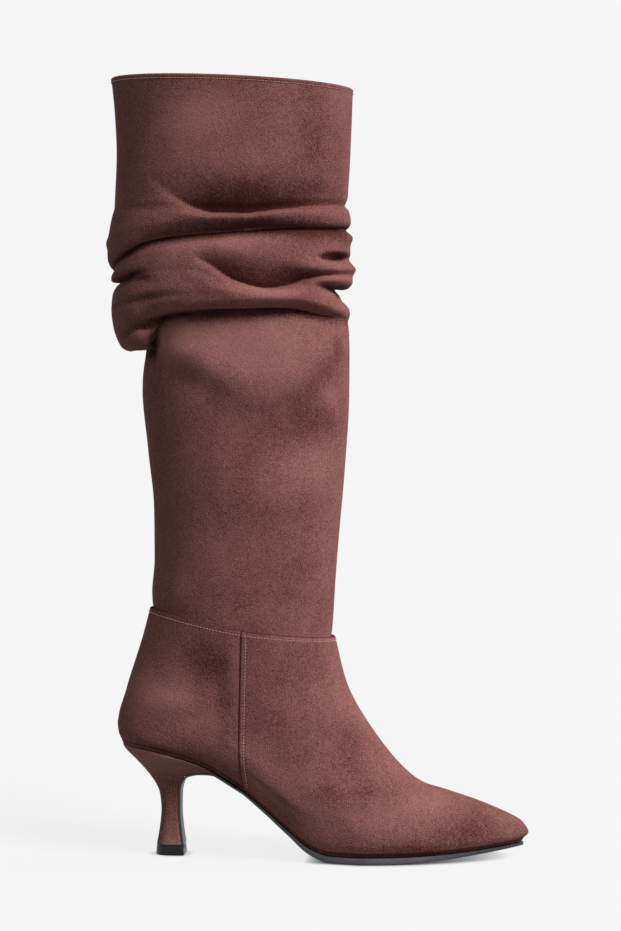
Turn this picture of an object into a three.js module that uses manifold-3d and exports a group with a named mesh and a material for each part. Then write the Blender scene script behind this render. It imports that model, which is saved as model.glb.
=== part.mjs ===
// A knee-high pull-on boot for the right foot, with a pointed toe, a flared covered heel and a slouched leg.
// It stands empty on its sole. Millimetres: x runs forward from the middle of the heel's foot, y to the
// wearer's left, z up from the floor.
import * as THREE from "three";
import { mergeVertices } from "three/addons/utils/BufferGeometryUtils.js";
import Module from "manifold-3d";

const wasm = await Module();
wasm.setup();

// Driving sizes of the last.
const bootLength = 250; // back of the counter to the tip of the toe
const heelSetForward = 32.4; // back of the counter to the middle of the heel's foot
const heelHeight = 68.2; // floor to the back edge of the heel seat
const toeSpring = 4.9; // rise of the last's tip above its ball
const ballWidth = 73; // across the bottom edge at the ball
const toeSwing = 6; // how far the toe's tip leans to the inner side
const counterHeight = 82; // heel seat to the ankle seam at the back
const anklePitch = 17.7; // how much lower the ankle seam lies at the front

// Driving sizes of the leg.
const legHeight = 322; // ankle seam to the collar, at the back
const collarDepth = 147.2; // front to back at the collar
const collarWidth = 92; // side to side at the collar
const collarPitch = 6; // how much lower the collar lies at the front
const collarSetBack = 23.8; // how far the collar's back stands behind the ankle's back
const foldReach = 1; // 1 gives folds as deep as in the table

// Driving sizes of the leather and the bottom.
const upperWall = 1.2; // foot part: leather with its lining
const legWall = 1.5; // leg: leather with its lining
const collarHem = 0.8; // the edge folded in at the collar
const vampLap = 0.6; // step where the vamp laps over the quarter
const legTuck = 10; // how far the leg goes down inside the foot part
const lastingMargin = 9; // leather turned in under the foot
const featherInset = 1; // how far the turned leather's corner lies inside the foot's outline
const featherTurn = 2.4; // height of that corner
const insoleBoard = 2; // insole with its sock
const soleBall = 4.2; // outsole at the ball
const soleWaist = 2.4; // outsole under the arch
const soleToe = 2; // outsole at the toe
const breastFlap = 1.2; // outsole where it covers the front of the heel
const soleEdge = 0.4; // how far the outsole stands out past the foot's bottom edge
const topPieceHeight = 6.3;
const topPieceLength = 17.9;
const topPieceWidth = 18.4;
const heelWaistBack = 5.7; // heel at its narrowest, from its middle to the back
const heelWaistFront = 5.1; // and to the front
const heelWaistWidth = 15;
const clearance = 0.3; // between pieces that touch
const bendClearance = 0.45; // between pieces that touch along the curved bottom

// Columns around the boot on each side: shares of the quarter, from the heel's back to the side seam, and
// shares of the vamp, from the seam to the toe. The last quarter column before the seam is the heel's breast.
const quarterShares = [0, 0.019, 0.076, 0.176, 0.321, 0.481, 0.641, 0.7855];
const vampShares = [
  0, 0.075, 0.147, 0.203, 0.253, 0.303, 0.36, 0.445, 0.559, 0.673, 0.787, 0.872, 0.936, 0.979, 1,
];
const breastColumn = quarterShares.length - 1;
const seamColumn = quarterShares.length;
const toeColumn = quarterShares.length + vampShares.length - 1;

const lerp = THREE.MathUtils.lerp;
const vec = (x, y, z) => new THREE.Vector3(x, y, z);

// One row between two rows of a table, by a cubic that never overshoots them. The rows are in order of `key`.
function rowAt(rows, key, at) {
  const last = rows.length - 1;
  let i = 0;
  while (i < last - 1 && rows[i + 1][key] < at) i += 1;
  const step = rows[i + 1][key] - rows[i][key];
  const t = THREE.MathUtils.clamp((at - rows[i][key]) / step, 0, 1);
  const row = {};
  for (const name of Object.keys(rows[i])) {
    const slope = (k) => (rows[k + 1][name] - rows[k][name]) / (rows[k + 1][key] - rows[k][key]);
    const tangent = (k) => {
      if (k === 0) return slope(0);
      if (k === last) return slope(last - 1);
      const before = slope(k - 1);
      const after = slope(k);
      return before * after <= 0 ? 0 : (2 * before * after) / (before + after);
    };
    const a = rows[i][name];
    const b = rows[i + 1][name];
    const rise = t * t * (3 - 2 * t);
    row[name] = a + (b - a) * rise
      + step * (tangent(i) * t * (1 - t) * (1 - t) - tangent(i + 1) * t * t * (1 - t));
  }
  return row;
}

// Bottom line of the last in side view. `at` is a share of the boot's length from the counter's back;
// `rise` is a share of the heel's height and `spring` of the toe spring.
const bottomRows = [
  { at: 0.019, rise: 1, spring: 0 },
  { at: 0.09, rise: 0.963, spring: 0 },
  { at: 0.162, rise: 0.895, spring: 0 },
  { at: 0.21, rise: 0.826, spring: 0 },
  { at: 0.25, rise: 0.742, spring: 0 },
  { at: 0.308, rise: 0.596, spring: 0 },
  { at: 0.37, rise: 0.402, spring: 0 },
  { at: 0.43, rise: 0.205, spring: 0 },
  { at: 0.482, rise: 0.056, spring: 0 },
  { at: 0.525, rise: 0.005, spring: 0 },
  { at: 0.57, rise: 0, spring: 0 },
  { at: 0.67, rise: 0, spring: 0 },
  { at: 0.78, rise: 0, spring: 0.13 },
  { at: 0.89, rise: 0, spring: 0.5 },
  { at: 1, rise: 0, spring: 1 },
];
const ballTop = soleBall + bendClearance;
const along = (share) => share * bootLength - heelSetForward;
const shareOf = (x) => (x + heelSetForward) / bootLength;
function bottomZ(x) {
  const row = rowAt(bottomRows, "at", shareOf(x));
  return ballTop + row.rise * (heelHeight - ballTop) + row.spring * toeSpring;
}

// Levels of the foot part, from its bottom edge to the ankle seam. A level runs from a point on the
// counter's back to a point on the toe's ridge: `back` and `front` are shares of the boot's length, `backUp`
// and `frontUp` shares of the rise to the ankle seam. `heel`, `waist` and `ball` are half-widths, as shares
// of half the ball's. `backRound` and `frontRound` are the shares of the level that its two ends take to
// reach full width, and `nose` is blunter as it grows.
const footLevels = [
  {
    level: 0, back: 0.009, backUp: 0, front: 0.988, frontUp: 0,
    heel: 0.71, waist: 0.64, ball: 1, backRound: 0.12, frontRound: 0.4, nose: 0.17,
  },
  {
    level: 0.08, back: 0.003, backUp: 0.045, front: 0.9985, frontUp: 0.024,
    heel: 0.78, waist: 0.72, ball: 1.035, backRound: 0.13, frontRound: 0.41, nose: 0.19,
  },
  {
    level: 0.18, back: 0, backUp: 0.113, front: 0.98, frontUp: 0.075,
    heel: 0.815, waist: 0.8, ball: 1.03, backRound: 0.15, frontRound: 0.41, nose: 0.2,
  },
  {
    level: 0.3, back: 0.004, backUp: 0.205, front: 0.894, frontUp: 0.158,
    heel: 0.835, waist: 0.86, ball: 0.99, backRound: 0.18, frontRound: 0.39, nose: 0.24,
  },
  {
    level: 0.42, back: 0.0135, backUp: 0.305, front: 0.793, frontUp: 0.233,
    heel: 0.845, waist: 0.88, ball: 0.96, backRound: 0.21, frontRound: 0.37, nose: 0.32,
  },
  {
    level: 0.48, back: 0.02, backUp: 0.367, front: 0.743, frontUp: 0.269,
    heel: 0.85, waist: 0.89, ball: 0.945, backRound: 0.23, frontRound: 0.37, nose: 0.42,
  },
  {
    level: 0.55, back: 0.0265, backUp: 0.44, front: 0.701, frontUp: 0.34,
    heel: 0.86, waist: 0.9, ball: 0.93, backRound: 0.26, frontRound: 0.38, nose: 0.6,
  },
  {
    level: 0.7, back: 0.045, backUp: 0.62, front: 0.626, frontUp: 0.527,
    heel: 0.9, waist: 0.93, ball: 0.94, backRound: 0.34, frontRound: 0.42, nose: 1.1,
  },
  {
    level: 0.85, back: 0.0635, backUp: 0.8, front: 0.559, frontUp: 0.765,
    heel: 0.975, waist: 0.985, ball: 0.985, backRound: 0.43, frontRound: 0.46, nose: 3,
  },
  {
    level: 1, back: 0.0808, backUp: 1, front: 0.529, frontUp: 1,
    heel: 1.055, waist: 1.055, ball: 1.055, backRound: 0.5, frontRound: 0.5, nose: 30,
  },
];
const bottomLevel = footLevels[0];
const ankleLevel = footLevels[footLevels.length - 1];

// Where the heel, the waist and the ball lie on a level, as shares of it. The ball lies further forward on
// the inner side.
const heelAt = 0.1;
const waistAt = 0.34;
const ballAtOuter = 0.6;
const ballAtInner = 0.66;
const seatTop = heelHeight + featherTurn;
const ankleBackZ = heelHeight + counterHeight;
const ankleFrontZ = ankleBackZ - anklePitch;

// Sideways lean of the last's middle line, as shares of the toe swing.
const leanRows = [
  { at: 0, lean: 0 },
  { at: 0.3, lean: -0.22 },
  { at: 0.6, lean: -0.3 },
  { at: 0.8, lean: 0.15 },
  { at: 1, lean: 1 },
];
const leanAt = (x) => rowAt(leanRows, "at", shareOf(x)).lean * toeSwing;

// Share of full width at a share of a level: a round back, and a front between a point and an ellipse.
function endTaper(share, row) {
  const back = Math.min(share / row.backRound, 1);
  const front = Math.min((1 - share) / row.frontRound, 1);
  const full = front * (2 - front);
  const nose = row.nose;
  const taper = Math.sqrt(((nose + full) ** 2 - nose ** 2) / ((nose + 1) ** 2 - nose ** 2));
  return Math.sqrt(back * (2 - back)) * taper;
}

// A turn around the boot starts at the back and takes the outer side first. It is counted in columns: the
// toe is at `toeColumn` and twice that is the back again.
const wholeTurn = 2 * toeColumn;
const wrap = (turn) => ((turn % wholeTurn) + wholeTurn) % wholeTurn;
const columnOf = (turn) => Math.min(wrap(turn), wholeTurn - wrap(turn));
const sideOf = (turn) => (wrap(turn) <= toeColumn ? -1 : 1);

// Share of a level that a turn reaches, when the side seam lies at share `seam` of it.
function shareOfTurn(turn, seam) {
  const column = columnOf(turn);
  const i = Math.min(Math.floor(column), toeColumn - 1);
  const share = (k) => (k < seamColumn
    ? seam * quarterShares[k]
    : seam + (1 - seam) * vampShares[k - seamColumn]);
  return lerp(share(i), share(i + 1), column - i);
}

// The side seam in side view: nearly upright, bowed back a little at mid height.
const seamAt = 0.318;
const seamBow = 0.007;
const seamShare = (row, level) =>
  (seamAt - seamBow * Math.sin(Math.PI * level) - row.back) / (row.front - row.back);

// Outer surface of the foot part: `turn` goes around it, `level` from the bottom edge up to the ankle.
function footSurface(turn, level) {
  const row = rowAt(footLevels, "level", level);
  const share = shareOfTurn(turn, seamShare(row, level));
  const x = lerp(along(row.back), along(row.front), share);
  const toeZ = bottomZ(along(bottomLevel.front)) + featherTurn;
  const edgeX = lerp(along(bottomLevel.back), along(bottomLevel.front), share);
  const dip = bottomZ(edgeX) + featherTurn - lerp(seatTop, toeZ, share);
  const backZ = lerp(seatTop, ankleBackZ, row.backUp);
  const frontZ = lerp(toeZ, ankleFrontZ, row.frontUp);
  const side = sideOf(turn);
  const widths = [
    { at: heelAt, half: row.heel },
    { at: waistAt, half: row.waist },
    { at: side < 0 ? ballAtOuter : ballAtInner, half: row.ball },
  ];
  const spot = THREE.MathUtils.clamp(share, widths[0].at, widths[2].at);
  const half = (rowAt(widths, "at", spot).half * ballWidth * endTaper(share, row)) / 2;
  const y = leanAt(x) * (1 - level * level) + side * half;
  return vec(x, y, lerp(backZ, frontZ, share) + dip * (1 - level));
}

// Unit normal of a surface, pointing out of the boot, from two small steps along it.
const turnStep = 0.04;
const levelStep = 1e-3;
function outward(surface, turn, level) {
  const high = Math.min(level + levelStep, 1);
  const low = Math.max(level - levelStep, 0);
  const acrossStep = surface(turn + turnStep, level).sub(surface(turn - turnStep, level));
  const levelRise = surface(turn, high).sub(surface(turn, low));
  return acrossStep.cross(levelRise).normalize();
}
const offset = (surface, turn, level, distance) =>
  surface(turn, level).addScaledVector(outward(surface, turn, level), distance);

// Columns around the boot. With `doubled` there are two at each side seam, a hair apart, for the lap.
const lapStep = 0.06;
function columnTurns(doubled) {
  const side = [];
  for (let column = 0; column <= toeColumn; column += 1) {
    if (doubled && column === seamColumn) side.push(column - lapStep);
    side.push(column);
  }
  const back = side.slice(1, -1).reverse().map((turn) => wholeTurn - turn);
  return [...side, ...back];
}

// The bottom edge, moved inwards by `inset` in plan.
function bottomEdge(turn, inset) {
  const tangent = footSurface(turn + turnStep, 0).sub(footSurface(turn - turnStep, 0));
  const outwards = vec(tangent.y, -tangent.x, 0).normalize();
  const point = footSurface(turn, 0).addScaledVector(outwards, -inset);
  return point.setZ(bottomZ(point.x));
}

// The inner edge of the lasting margin, or a line `extra` inside it: the bottom edge drawn in on itself. It
// keeps to the columns' own lengthwise places, but at the heel and toe it is drawn in lengthwise too.
const toeMarginDepth = 2.5; // the margin is this many times as deep at the toe
const endHold = 4; // the power by which the lengthwise part dies out
function marginEdge(turn, extra) {
  const edge = footSurface(turn, 0);
  const share = (edge.x - along(bottomLevel.back)) / ((bottomLevel.front - bottomLevel.back) * bootLength);
  const deep = lastingMargin + extra;
  const x = edge.x + deep * (1 - share) ** endHold - toeMarginDepth * deep * share ** endHold;
  const y = leanAt(x) + (edge.y - leanAt(edge.x)) * (1 - (2 * deep) / ballWidth);
  return vec(x, y, bottomZ(x));
}

// Geometry of a closed body from rings of points: each ring is joined to the next, and each four-cornered
// face is split along its shorter diagonal. With `looped` the last ring is joined to the first; otherwise
// both ends are capped in strips between a ring's two sides.
function bodyOf(rings, looped) {
  const count = rings[0].length;
  const points = rings.flat();
  const faces = [];
  const joins = looped ? rings.length : rings.length - 1;
  for (let r = 0; r < joins; r += 1) {
    const low = r * count;
    const high = ((r + 1) % rings.length) * count;
    for (let i = 0; i < count; i += 1) {
      const j = (i + 1) % count;
      const [a, b, c, d] = [low + i, low + j, high + j, high + i];
      const oneWay = points[a].distanceTo(points[c]) <= points[b].distanceTo(points[d]);
      if (oneWay) faces.push([a, b, c], [a, c, d]);
      else faces.push([a, b, d], [b, c, d]);
    }
  }
  const cap = (start, flipped) => {
    for (let k = 0; k < count - 2 - k; k += 1) {
      const [a, b, c, d] = [start + k, start + k + 1, start + count - 2 - k, start + count - 1 - k];
      const pair = b === c ? [[a, b, d]] : [[a, b, c], [a, c, d]];
      for (const f of pair) faces.push(flipped ? f : [f[0], f[2], f[1]]);
    }
  };
  if (!looped) {
    cap(0, false);
    cap((rings.length - 1) * count, true);
  }
  const geometry = new THREE.BufferGeometry();
  const positions = points.flatMap((p) => [p.x, p.y, p.z]);
  geometry.setAttribute("position", new THREE.Float32BufferAttribute(positions, 3));
  const sixfold = ([a, b, c]) => points[a].dot(points[b].clone().cross(points[c]));
  const volume = faces.reduce((sum, face) => sum + sixfold(face), 0);
  geometry.setIndex((volume > 0 ? faces : faces.map(([a, b, c]) => [a, c, b])).flat());
  return geometry;
}

function solidOf(geometry) {
  const merged = mergeVertices(geometry, 1e-4);
  return new wasm.Manifold(new wasm.Mesh({
    numProp: 3,
    vertProperties: merged.attributes.position.array,
    triVerts: new Uint32Array(merged.index.array),
  }));
}

function geometryOf(solid) {
  const mesh = solid.getMesh();
  const geometry = new THREE.BufferGeometry();
  geometry.setAttribute("position", new THREE.BufferAttribute(mesh.vertProperties, 3));
  geometry.setIndex(new THREE.BufferAttribute(mesh.triVerts, 1));
  return geometry;
}

// The foot part: outer rings from the lasting margin up to the ankle, then inner rings back down.
const tuckLevel = 1 - legTuck / (counterHeight * 1.25);
const tuckRings = [tuckLevel, (1 + tuckLevel) / 2];
const footRings = [0, 0.05, 0.11, 0.18, 0.25, 0.33, 0.42, 0.48, 0.55, 0.62, 0.7, 0.77, 0.84, ...tuckRings, 1];
function upperGeometry() {
  const turns = columnTurns(true);
  const raised = (p) => p.setZ(p.z + upperWall);
  const lap = (turn) => (columnOf(turn) >= seamColumn ? vampLap : 0);
  const outer = footRings.map((level) => turns.map((turn) => offset(footSurface, turn, level, lap(turn))));
  const inner = footRings.map((level) => turns.map((turn) => offset(footSurface, turn, level, -upperWall)));
  const margin = turns.map((turn) => marginEdge(turn, 0));
  const corner = turns.map((turn) => bottomEdge(turn, featherInset));
  const innerCorner = turns.map((turn) => raised(bottomEdge(turn, featherInset + upperWall)));
  const innerMargin = turns.map((turn) => raised(marginEdge(turn, 0)));
  return bodyOf([margin, corner, ...outer, ...inner.reverse(), innerCorner, innerMargin], true);
}

// Sizes of the leg by level, from the ankle seam to the collar: `back`, `front` and `side` are shares of the
// change from the ankle's reach to the collar's. Levels follow the creases around the leg.
const legLevels = [
  { level: 0, back: 0, front: 0, side: 0 },
  { level: 0.03, back: 0.02, front: 0.08, side: 0.05 },
  { level: 0.09, back: -0.04, front: 0.19, side: 0.12 },
  { level: 0.18, back: -0.03, front: 0.38, side: 0.2 },
  { level: 0.29, back: 0.11, front: 0.62, side: 0.4 },
  { level: 0.42, back: 0.25, front: 0.84, side: 0.62 },
  { level: 0.5, back: 0.24, front: 0.86, side: 0.7 },
  { level: 0.51, back: 0.55, front: 0.86, side: 0.75 },
  { level: 0.522, back: 0.93, front: 0.85, side: 0.82 },
  { level: 0.58, back: 0.94, front: 0.84, side: 0.9 },
  { level: 0.68, back: 0.96, front: 0.85, side: 0.93 },
  { level: 0.76, back: 0.93, front: 0.74, side: 0.94 },
  { level: 0.86, back: 0.87, front: 0.87, side: 0.95 },
  { level: 0.94, back: 0.92, front: 0.95, side: 0.98 },
  { level: 1, back: 1, front: 1, side: 1 },
];

// Creases around the leg, each under a roll of leather, from the lowest up. Each has rows for eight places,
// an eighth of a turn apart: `height` of the roll's lower edge as a share of the leg's height, and in
// millimetres the crease's `depth`, how far the `roll` stands out and how far it `hangs` over the crease.
const creases = [
  {
    name: "under_roll", level: 0.5, size: 0.1,
    at: [
      { place: "back", height: 0.482, depth: 2, roll: 1.2, hangs: 1 },
      { place: "back_outer", height: 0.508, depth: 5, roll: 2.5, hangs: 3 },
      { place: "outer", height: 0.563, depth: 6, roll: 3, hangs: 3 },
      { place: "front_outer", height: 0.571, depth: 5, roll: 2, hangs: 2 },
      { place: "front", height: 0.556, depth: 1.5, roll: 0.4, hangs: 0.5 },
      { place: "front_inner", height: 0.565, depth: 5, roll: 2, hangs: 2 },
      { place: "inner", height: 0.565, depth: 6, roll: 3, hangs: 3 },
      { place: "back_inner", height: 0.512, depth: 5, roll: 2.5, hangs: 3 },
    ],
  },
  {
    name: "middle_nip", level: 0.61, size: 0.07,
    at: [
      { place: "back", height: 0.612, depth: 3.5, roll: 0, hangs: 0.5 },
      { place: "back_outer", height: 0.628, depth: 1, roll: 0.3, hangs: 0 },
      { place: "outer", height: 0.642, depth: 2, roll: 0.5, hangs: 0 },
      { place: "front_outer", height: 0.62, depth: 4.5, roll: 1, hangs: 1 },
      { place: "front", height: 0.612, depth: 7, roll: 3, hangs: 1 },
      { place: "front_inner", height: 0.62, depth: 4, roll: 1, hangs: 1 },
      { place: "inner", height: 0.64, depth: 2.5, roll: 0.5, hangs: 0 },
      { place: "back_inner", height: 0.63, depth: 1.5, roll: 0.3, hangs: 0 },
    ],
  },
  {
    name: "under_fold", level: 0.7, size: 0.06,
    at: [
      { place: "back", height: 0.642, depth: 0.5, roll: 5.5, hangs: 0 },
      { place: "back_outer", height: 0.694, depth: 4, roll: 2.5, hangs: 1.5 },
      { place: "outer", height: 0.716, depth: 5.5, roll: 2.5, hangs: 2.5 },
      { place: "front_outer", height: 0.72, depth: 4.5, roll: 2, hangs: 2 },
      { place: "front", height: 0.693, depth: 2.5, roll: 4.5, hangs: 0.5 },
      { place: "front_inner", height: 0.712, depth: 4.5, roll: 2, hangs: 2 },
      { place: "inner", height: 0.717, depth: 5.5, roll: 2.5, hangs: 2.5 },
      { place: "back_inner", height: 0.698, depth: 4, roll: 2.5, hangs: 1.5 },
    ],
  },
  {
    name: "top_tuck", level: 0.765, size: 0.05,
    at: [
      { place: "back", height: 0.745, depth: 0, roll: 0, hangs: 0 },
      { place: "back_outer", height: 0.748, depth: 0.6, roll: 0, hangs: 0 },
      { place: "outer", height: 0.753, depth: 3.5, roll: -1, hangs: 0.5 },
      { place: "front_outer", height: 0.766, depth: 4, roll: -1, hangs: 1 },
      { place: "front", height: 0.775, depth: 2.2, roll: 0.6, hangs: 0.5 },
      { place: "front_inner", height: 0.76, depth: 3.5, roll: -1, hangs: 1 },
      { place: "inner", height: 0.752, depth: 3.5, roll: -1, hangs: 0.5 },
      { place: "back_inner", height: 0.748, depth: 0.6, roll: 0, hangs: 0 },
    ],
  },
];

// Section of a crease and its roll: `over` counts sizes above the crease; `deep`, `out` and `up` are shares
// of the depth, of the roll's reach and of its hang.
const creaseSection = [
  { over: -0.9, deep: 0, out: 0, up: 0 },
  { over: -0.45, deep: 0.12, out: 0, up: 0 },
  { over: -0.12, deep: 0.75, out: 0, up: 0.5 },
  { over: 0, deep: 1, out: 0, up: 1 },
  { over: 0.1, deep: 0.75, out: 0.1, up: 0.65 },
  { over: 0.22, deep: 0.15, out: 0.6, up: 0 },
  { over: 0.4, deep: 0, out: 0.95, up: 0 },
  { over: 0.7, deep: 0, out: 0.9, up: 0 },
  { over: 1.2, deep: 0, out: 0, up: 0 },
];

// A crease's row at a bearing in turns from the back, by a smooth step from place to place.
function atBearing(crease, bearing) {
  const count = crease.at.length;
  const spot = (bearing - Math.floor(bearing)) * count;
  const i = Math.floor(spot) % count;
  const t = THREE.MathUtils.smoothstep(spot - Math.floor(spot), 0, 1);
  const [from, to] = [crease.at[i], crease.at[(i + 1) % count]];
  const mix = (name) => lerp(from[name], to[name], t);
  return { height: mix("height"), depth: mix("depth"), roll: mix("roll"), hangs: mix("hangs") };
}

// Outer surface of the leg: `turn` goes around it, `level` from the ankle seam to the collar.
const tuckGap = upperWall + clearance;
const collarBackX = along(ankleLevel.back) - collarSetBack;
const pitchFade = 0.2; // share of the leg's height over which the ankle seam's slope dies out
const columnFade = 0.3; // and over which the columns become evenly spaced
const plainBelow = 0.38; // levels up to this are level lines
function legSurface(turn, level) {
  const row = rowAt(legLevels, "level", level);
  const backX = lerp(along(ankleLevel.back) + tuckGap, collarBackX, row.back);
  const frontX = lerp(along(ankleLevel.front) - tuckGap, collarBackX + collarDepth, row.front);
  const half = lerp((ankleLevel.heel * ballWidth) / 2 - tuckGap, collarWidth / 2, row.side);
  const atAnkle = shareOfTurn(turn, seamShare(ankleLevel, 1));
  const even = (1 - Math.cos((Math.PI * columnOf(turn)) / toeColumn)) / 2;
  const share = lerp(atAnkle, even, THREE.MathUtils.smoothstep(level, 0, columnFade));
  const across = sideOf(turn) * endTaper(share, ankleLevel);
  const bearing = Math.atan2(-across, 1 - 2 * share) / (2 * Math.PI);
  const folds = creases.map((crease) => ({ ...crease, ...atBearing(crease, bearing) }));
  const lines = [
    { level: 0, up: 0 },
    { level: plainBelow, up: plainBelow },
    ...folds.map((fold) => ({ level: fold.level, up: fold.height })),
    { level: 0.9, up: 0.9 },
    { level: 1, up: 1 },
  ];
  const up = rowAt(lines, "level", level).up;
  const pitch = lerp(collarPitch, anklePitch, Math.max(0, 1 - up / pitchFade) ** 2);
  const point = vec(lerp(backX, frontX, share), half * across, ankleBackZ + up * legHeight - pitch * share);
  const away = vec((2 * share - 1) / (frontX - backX), across / (2 * half), 0).normalize();
  for (const fold of folds) {
    const over = (level - fold.level) / fold.size;
    const section = rowAt(creaseSection, "over", over);
    point.addScaledVector(away, foldReach * (fold.roll * section.out - fold.depth * section.deep));
    point.z += foldReach * fold.hangs * section.up;
  }
  return point;
}

// The leg: outer rings from the tuck up to the collar, then inner rings back down. Inside the foot part it
// keeps to that part's inner face. The inner face has fewer rings at each crease.
const plainRings = [0, 0.03, 0.09, 0.18, 0.27, 0.35, 0.42];
const collarRings = [0.86, 0.93, 0.955, 0.965, 1];
const outerFoldRings = [
  0.47, 0.488, 0.5, 0.509, 0.52, 0.535, 0.555, 0.58,
  0.6, 0.61, 0.62, 0.638, 0.663,
  0.685, 0.694, 0.7, 0.706, 0.714, 0.73, 0.747,
  0.759, 0.765, 0.774, 0.79, 0.82,
];
const innerFoldRings = [
  0.47, 0.5, 0.513, 0.535, 0.575, 0.61, 0.638, 0.663, 0.7, 0.714, 0.74, 0.765, 0.785, 0.82,
];
const hemFrom = 0.96; // level at which the folded edge starts
function shaftGeometry() {
  const turns = columnTurns(false);
  const tucked = (inset) =>
    tuckRings.map((level) => turns.map((turn) => offset(footSurface, turn, level, -inset)));
  const wall = (level) => legWall + (level > hemFrom ? collarHem : 0);
  const outer = [...plainRings, ...outerFoldRings, ...collarRings]
    .map((level) => turns.map((turn) => legSurface(turn, level)));
  const inner = [...plainRings, ...innerFoldRings, ...collarRings]
    .map((level) => turns.map((turn) => offset(legSurface, turn, level, -wall(level))));
  const tuckedInner = tucked(tuckGap + legWall).reverse();
  return bodyOf([...tucked(tuckGap), ...outer, ...inner.reverse(), ...tuckedInner], true);
}

// The insole: a board on the lasting margin, with a pad underneath that fills the opening in it.
const insoleInset = featherInset + upperWall + 2 * bendClearance;
const padGap = 1.2; // pad to the lasting margin
const endTrim = 0.35; // the two ends are cut square, this far into their columns
function insoleGeometry() {
  const columns = [endTrim];
  for (let column = 1; column < toeColumn; column += 1) columns.push(column);
  columns.push(toeColumn - endTrim);
  const slab = (edge, low, high) => solidOf(bodyOf(columns.map((column) => {
    const lifted = (turn, z) => edge(turn).setZ(bottomZ(edge(turn).x) + z);
    const other = wholeTurn - column;
    return [lifted(column, low), lifted(column, high), lifted(other, high), lifted(other, low)];
  }), false));
  const boardLow = upperWall + bendClearance;
  const board = slab((turn) => bottomEdge(turn, insoleInset), boardLow, boardLow + insoleBoard);
  const pad = slab((turn) => marginEdge(turn, padGap), 0, boardLow + insoleBoard / 2);
  return geometryOf(board.add(pad));
}

// Sections of the heel, from the top piece up to the seat. `backUp` and `frontUp` are shares of the heel's
// height at its two ends. `foot` is how much of the foot's spread a section has over the narrow waist's, and
// `back`, `front` and `side` are shares of the way from there to the seat's reach.
const heelSections = [
  { backUp: 0, frontUp: 0, foot: 1, back: 0, front: 0, side: 0 },
  { backUp: 0.09, frontUp: 0.09, foot: 0.62, back: 0, front: 0, side: 0 },
  { backUp: 0.19, frontUp: 0.19, foot: 0.28, back: 0, front: 0, side: 0 },
  { backUp: 0.34, frontUp: 0.34, foot: 0, back: 0, front: 0, side: 0.01 },
  { backUp: 0.49, frontUp: 0.5, foot: 0, back: 0.035, front: 0.005, side: 0.04 },
  { backUp: 0.59, frontUp: 0.59, foot: 0, back: 0.13, front: 0.04, side: 0.11 },
  { backUp: 0.655, frontUp: 0.652, foot: 0, back: 0.24, front: 0.11, side: 0.18 },
  { backUp: 0.72, frontUp: 0.695, foot: 0, back: 0.37, front: 0.22, side: 0.28 },
  { backUp: 0.79, frontUp: 0.722, foot: 0, back: 0.53, front: 0.38, side: 0.42 },
  { backUp: 0.86, frontUp: 0.739, foot: 0, back: 0.7, front: 0.58, side: 0.6 },
  { backUp: 0.93, frontUp: 0.744, foot: 0, back: 0.87, front: 0.79, side: 0.8 },
  { backUp: 1, frontUp: 0.73, foot: 0, back: 1, front: 1, side: 1 },
];
const seatSection = heelSections.length - 1;
const heelBase = topPieceHeight + clearance;
const topPieceInset = 0.5; // the heel's foot inside the top piece's edge
const heelColumns = quarterShares.map((share) => share / quarterShares[breastColumn]);

// Outline of the heel or top piece at a share of its length from the back: a half-width with a round back
// and eased front corners.
const heelRound = 0.5;
const frontEase = 0.06;
function heelHalf(half, share) {
  const back = Math.min(share / heelRound, 1);
  const corner = Math.min((1 - share) / frontEase, 1);
  return half * Math.sqrt(back * (2 - back)) * (0.9 + 0.1 * Math.sqrt(corner));
}

// A point of the heel's surface on a section at a column, on the side of `turn`.
function heelPoint(section, column, side) {
  const row = heelSections[section];
  const turn = side < 0 ? column : wholeTurn - column;
  const seat = bottomEdge(turn, featherInset);
  seat.z -= bendClearance;
  if (section === seatSection) return seat;
  const seatBackX = along(bottomLevel.back) + featherInset;
  const breastX = bottomEdge(breastColumn, featherInset).x;
  const reach = (foot, waist, atSeat, share) => lerp(lerp(waist, foot, row.foot), atSeat, share);
  const backX = reach(topPieceInset - topPieceLength / 2, -heelWaistBack, seatBackX, row.back);
  const frontX = reach(topPieceLength / 2 - breastFlap - topPieceInset, heelWaistFront, breastX, row.front);
  const seatHalf = (bottomLevel.heel * ballWidth) / 2 - featherInset;
  const half = reach(topPieceWidth / 2 - topPieceInset, heelWaistWidth / 2, seatHalf, row.side);
  const share = heelColumns[column];
  const height = (up) => lerp(heelBase, heelHeight - bendClearance, up);
  const plain = vec(
    lerp(backX, frontX, share),
    side * heelHalf(half, share),
    lerp(height(row.backUp), height(row.frontUp), share),
  );
  const straight = lerp(heelHeight, bottomZ(breastX), share) - bendClearance;
  const w = row.front * row.front;
  return vec(plain.x, lerp(plain.y, seat.y, w), plain.z + (seat.z - straight) * w);
}

function heelGeometry() {
  const rings = heelSections.map((row, section) => {
    const outerSide = heelColumns.map((share, column) => heelPoint(section, column, -1)).reverse();
    const innerSide = heelColumns.slice(1).map((share, i) => heelPoint(section, i + 1, 1));
    return [...outerSide, ...innerSide];
  });
  return bodyOf(rings, false);
}

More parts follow.
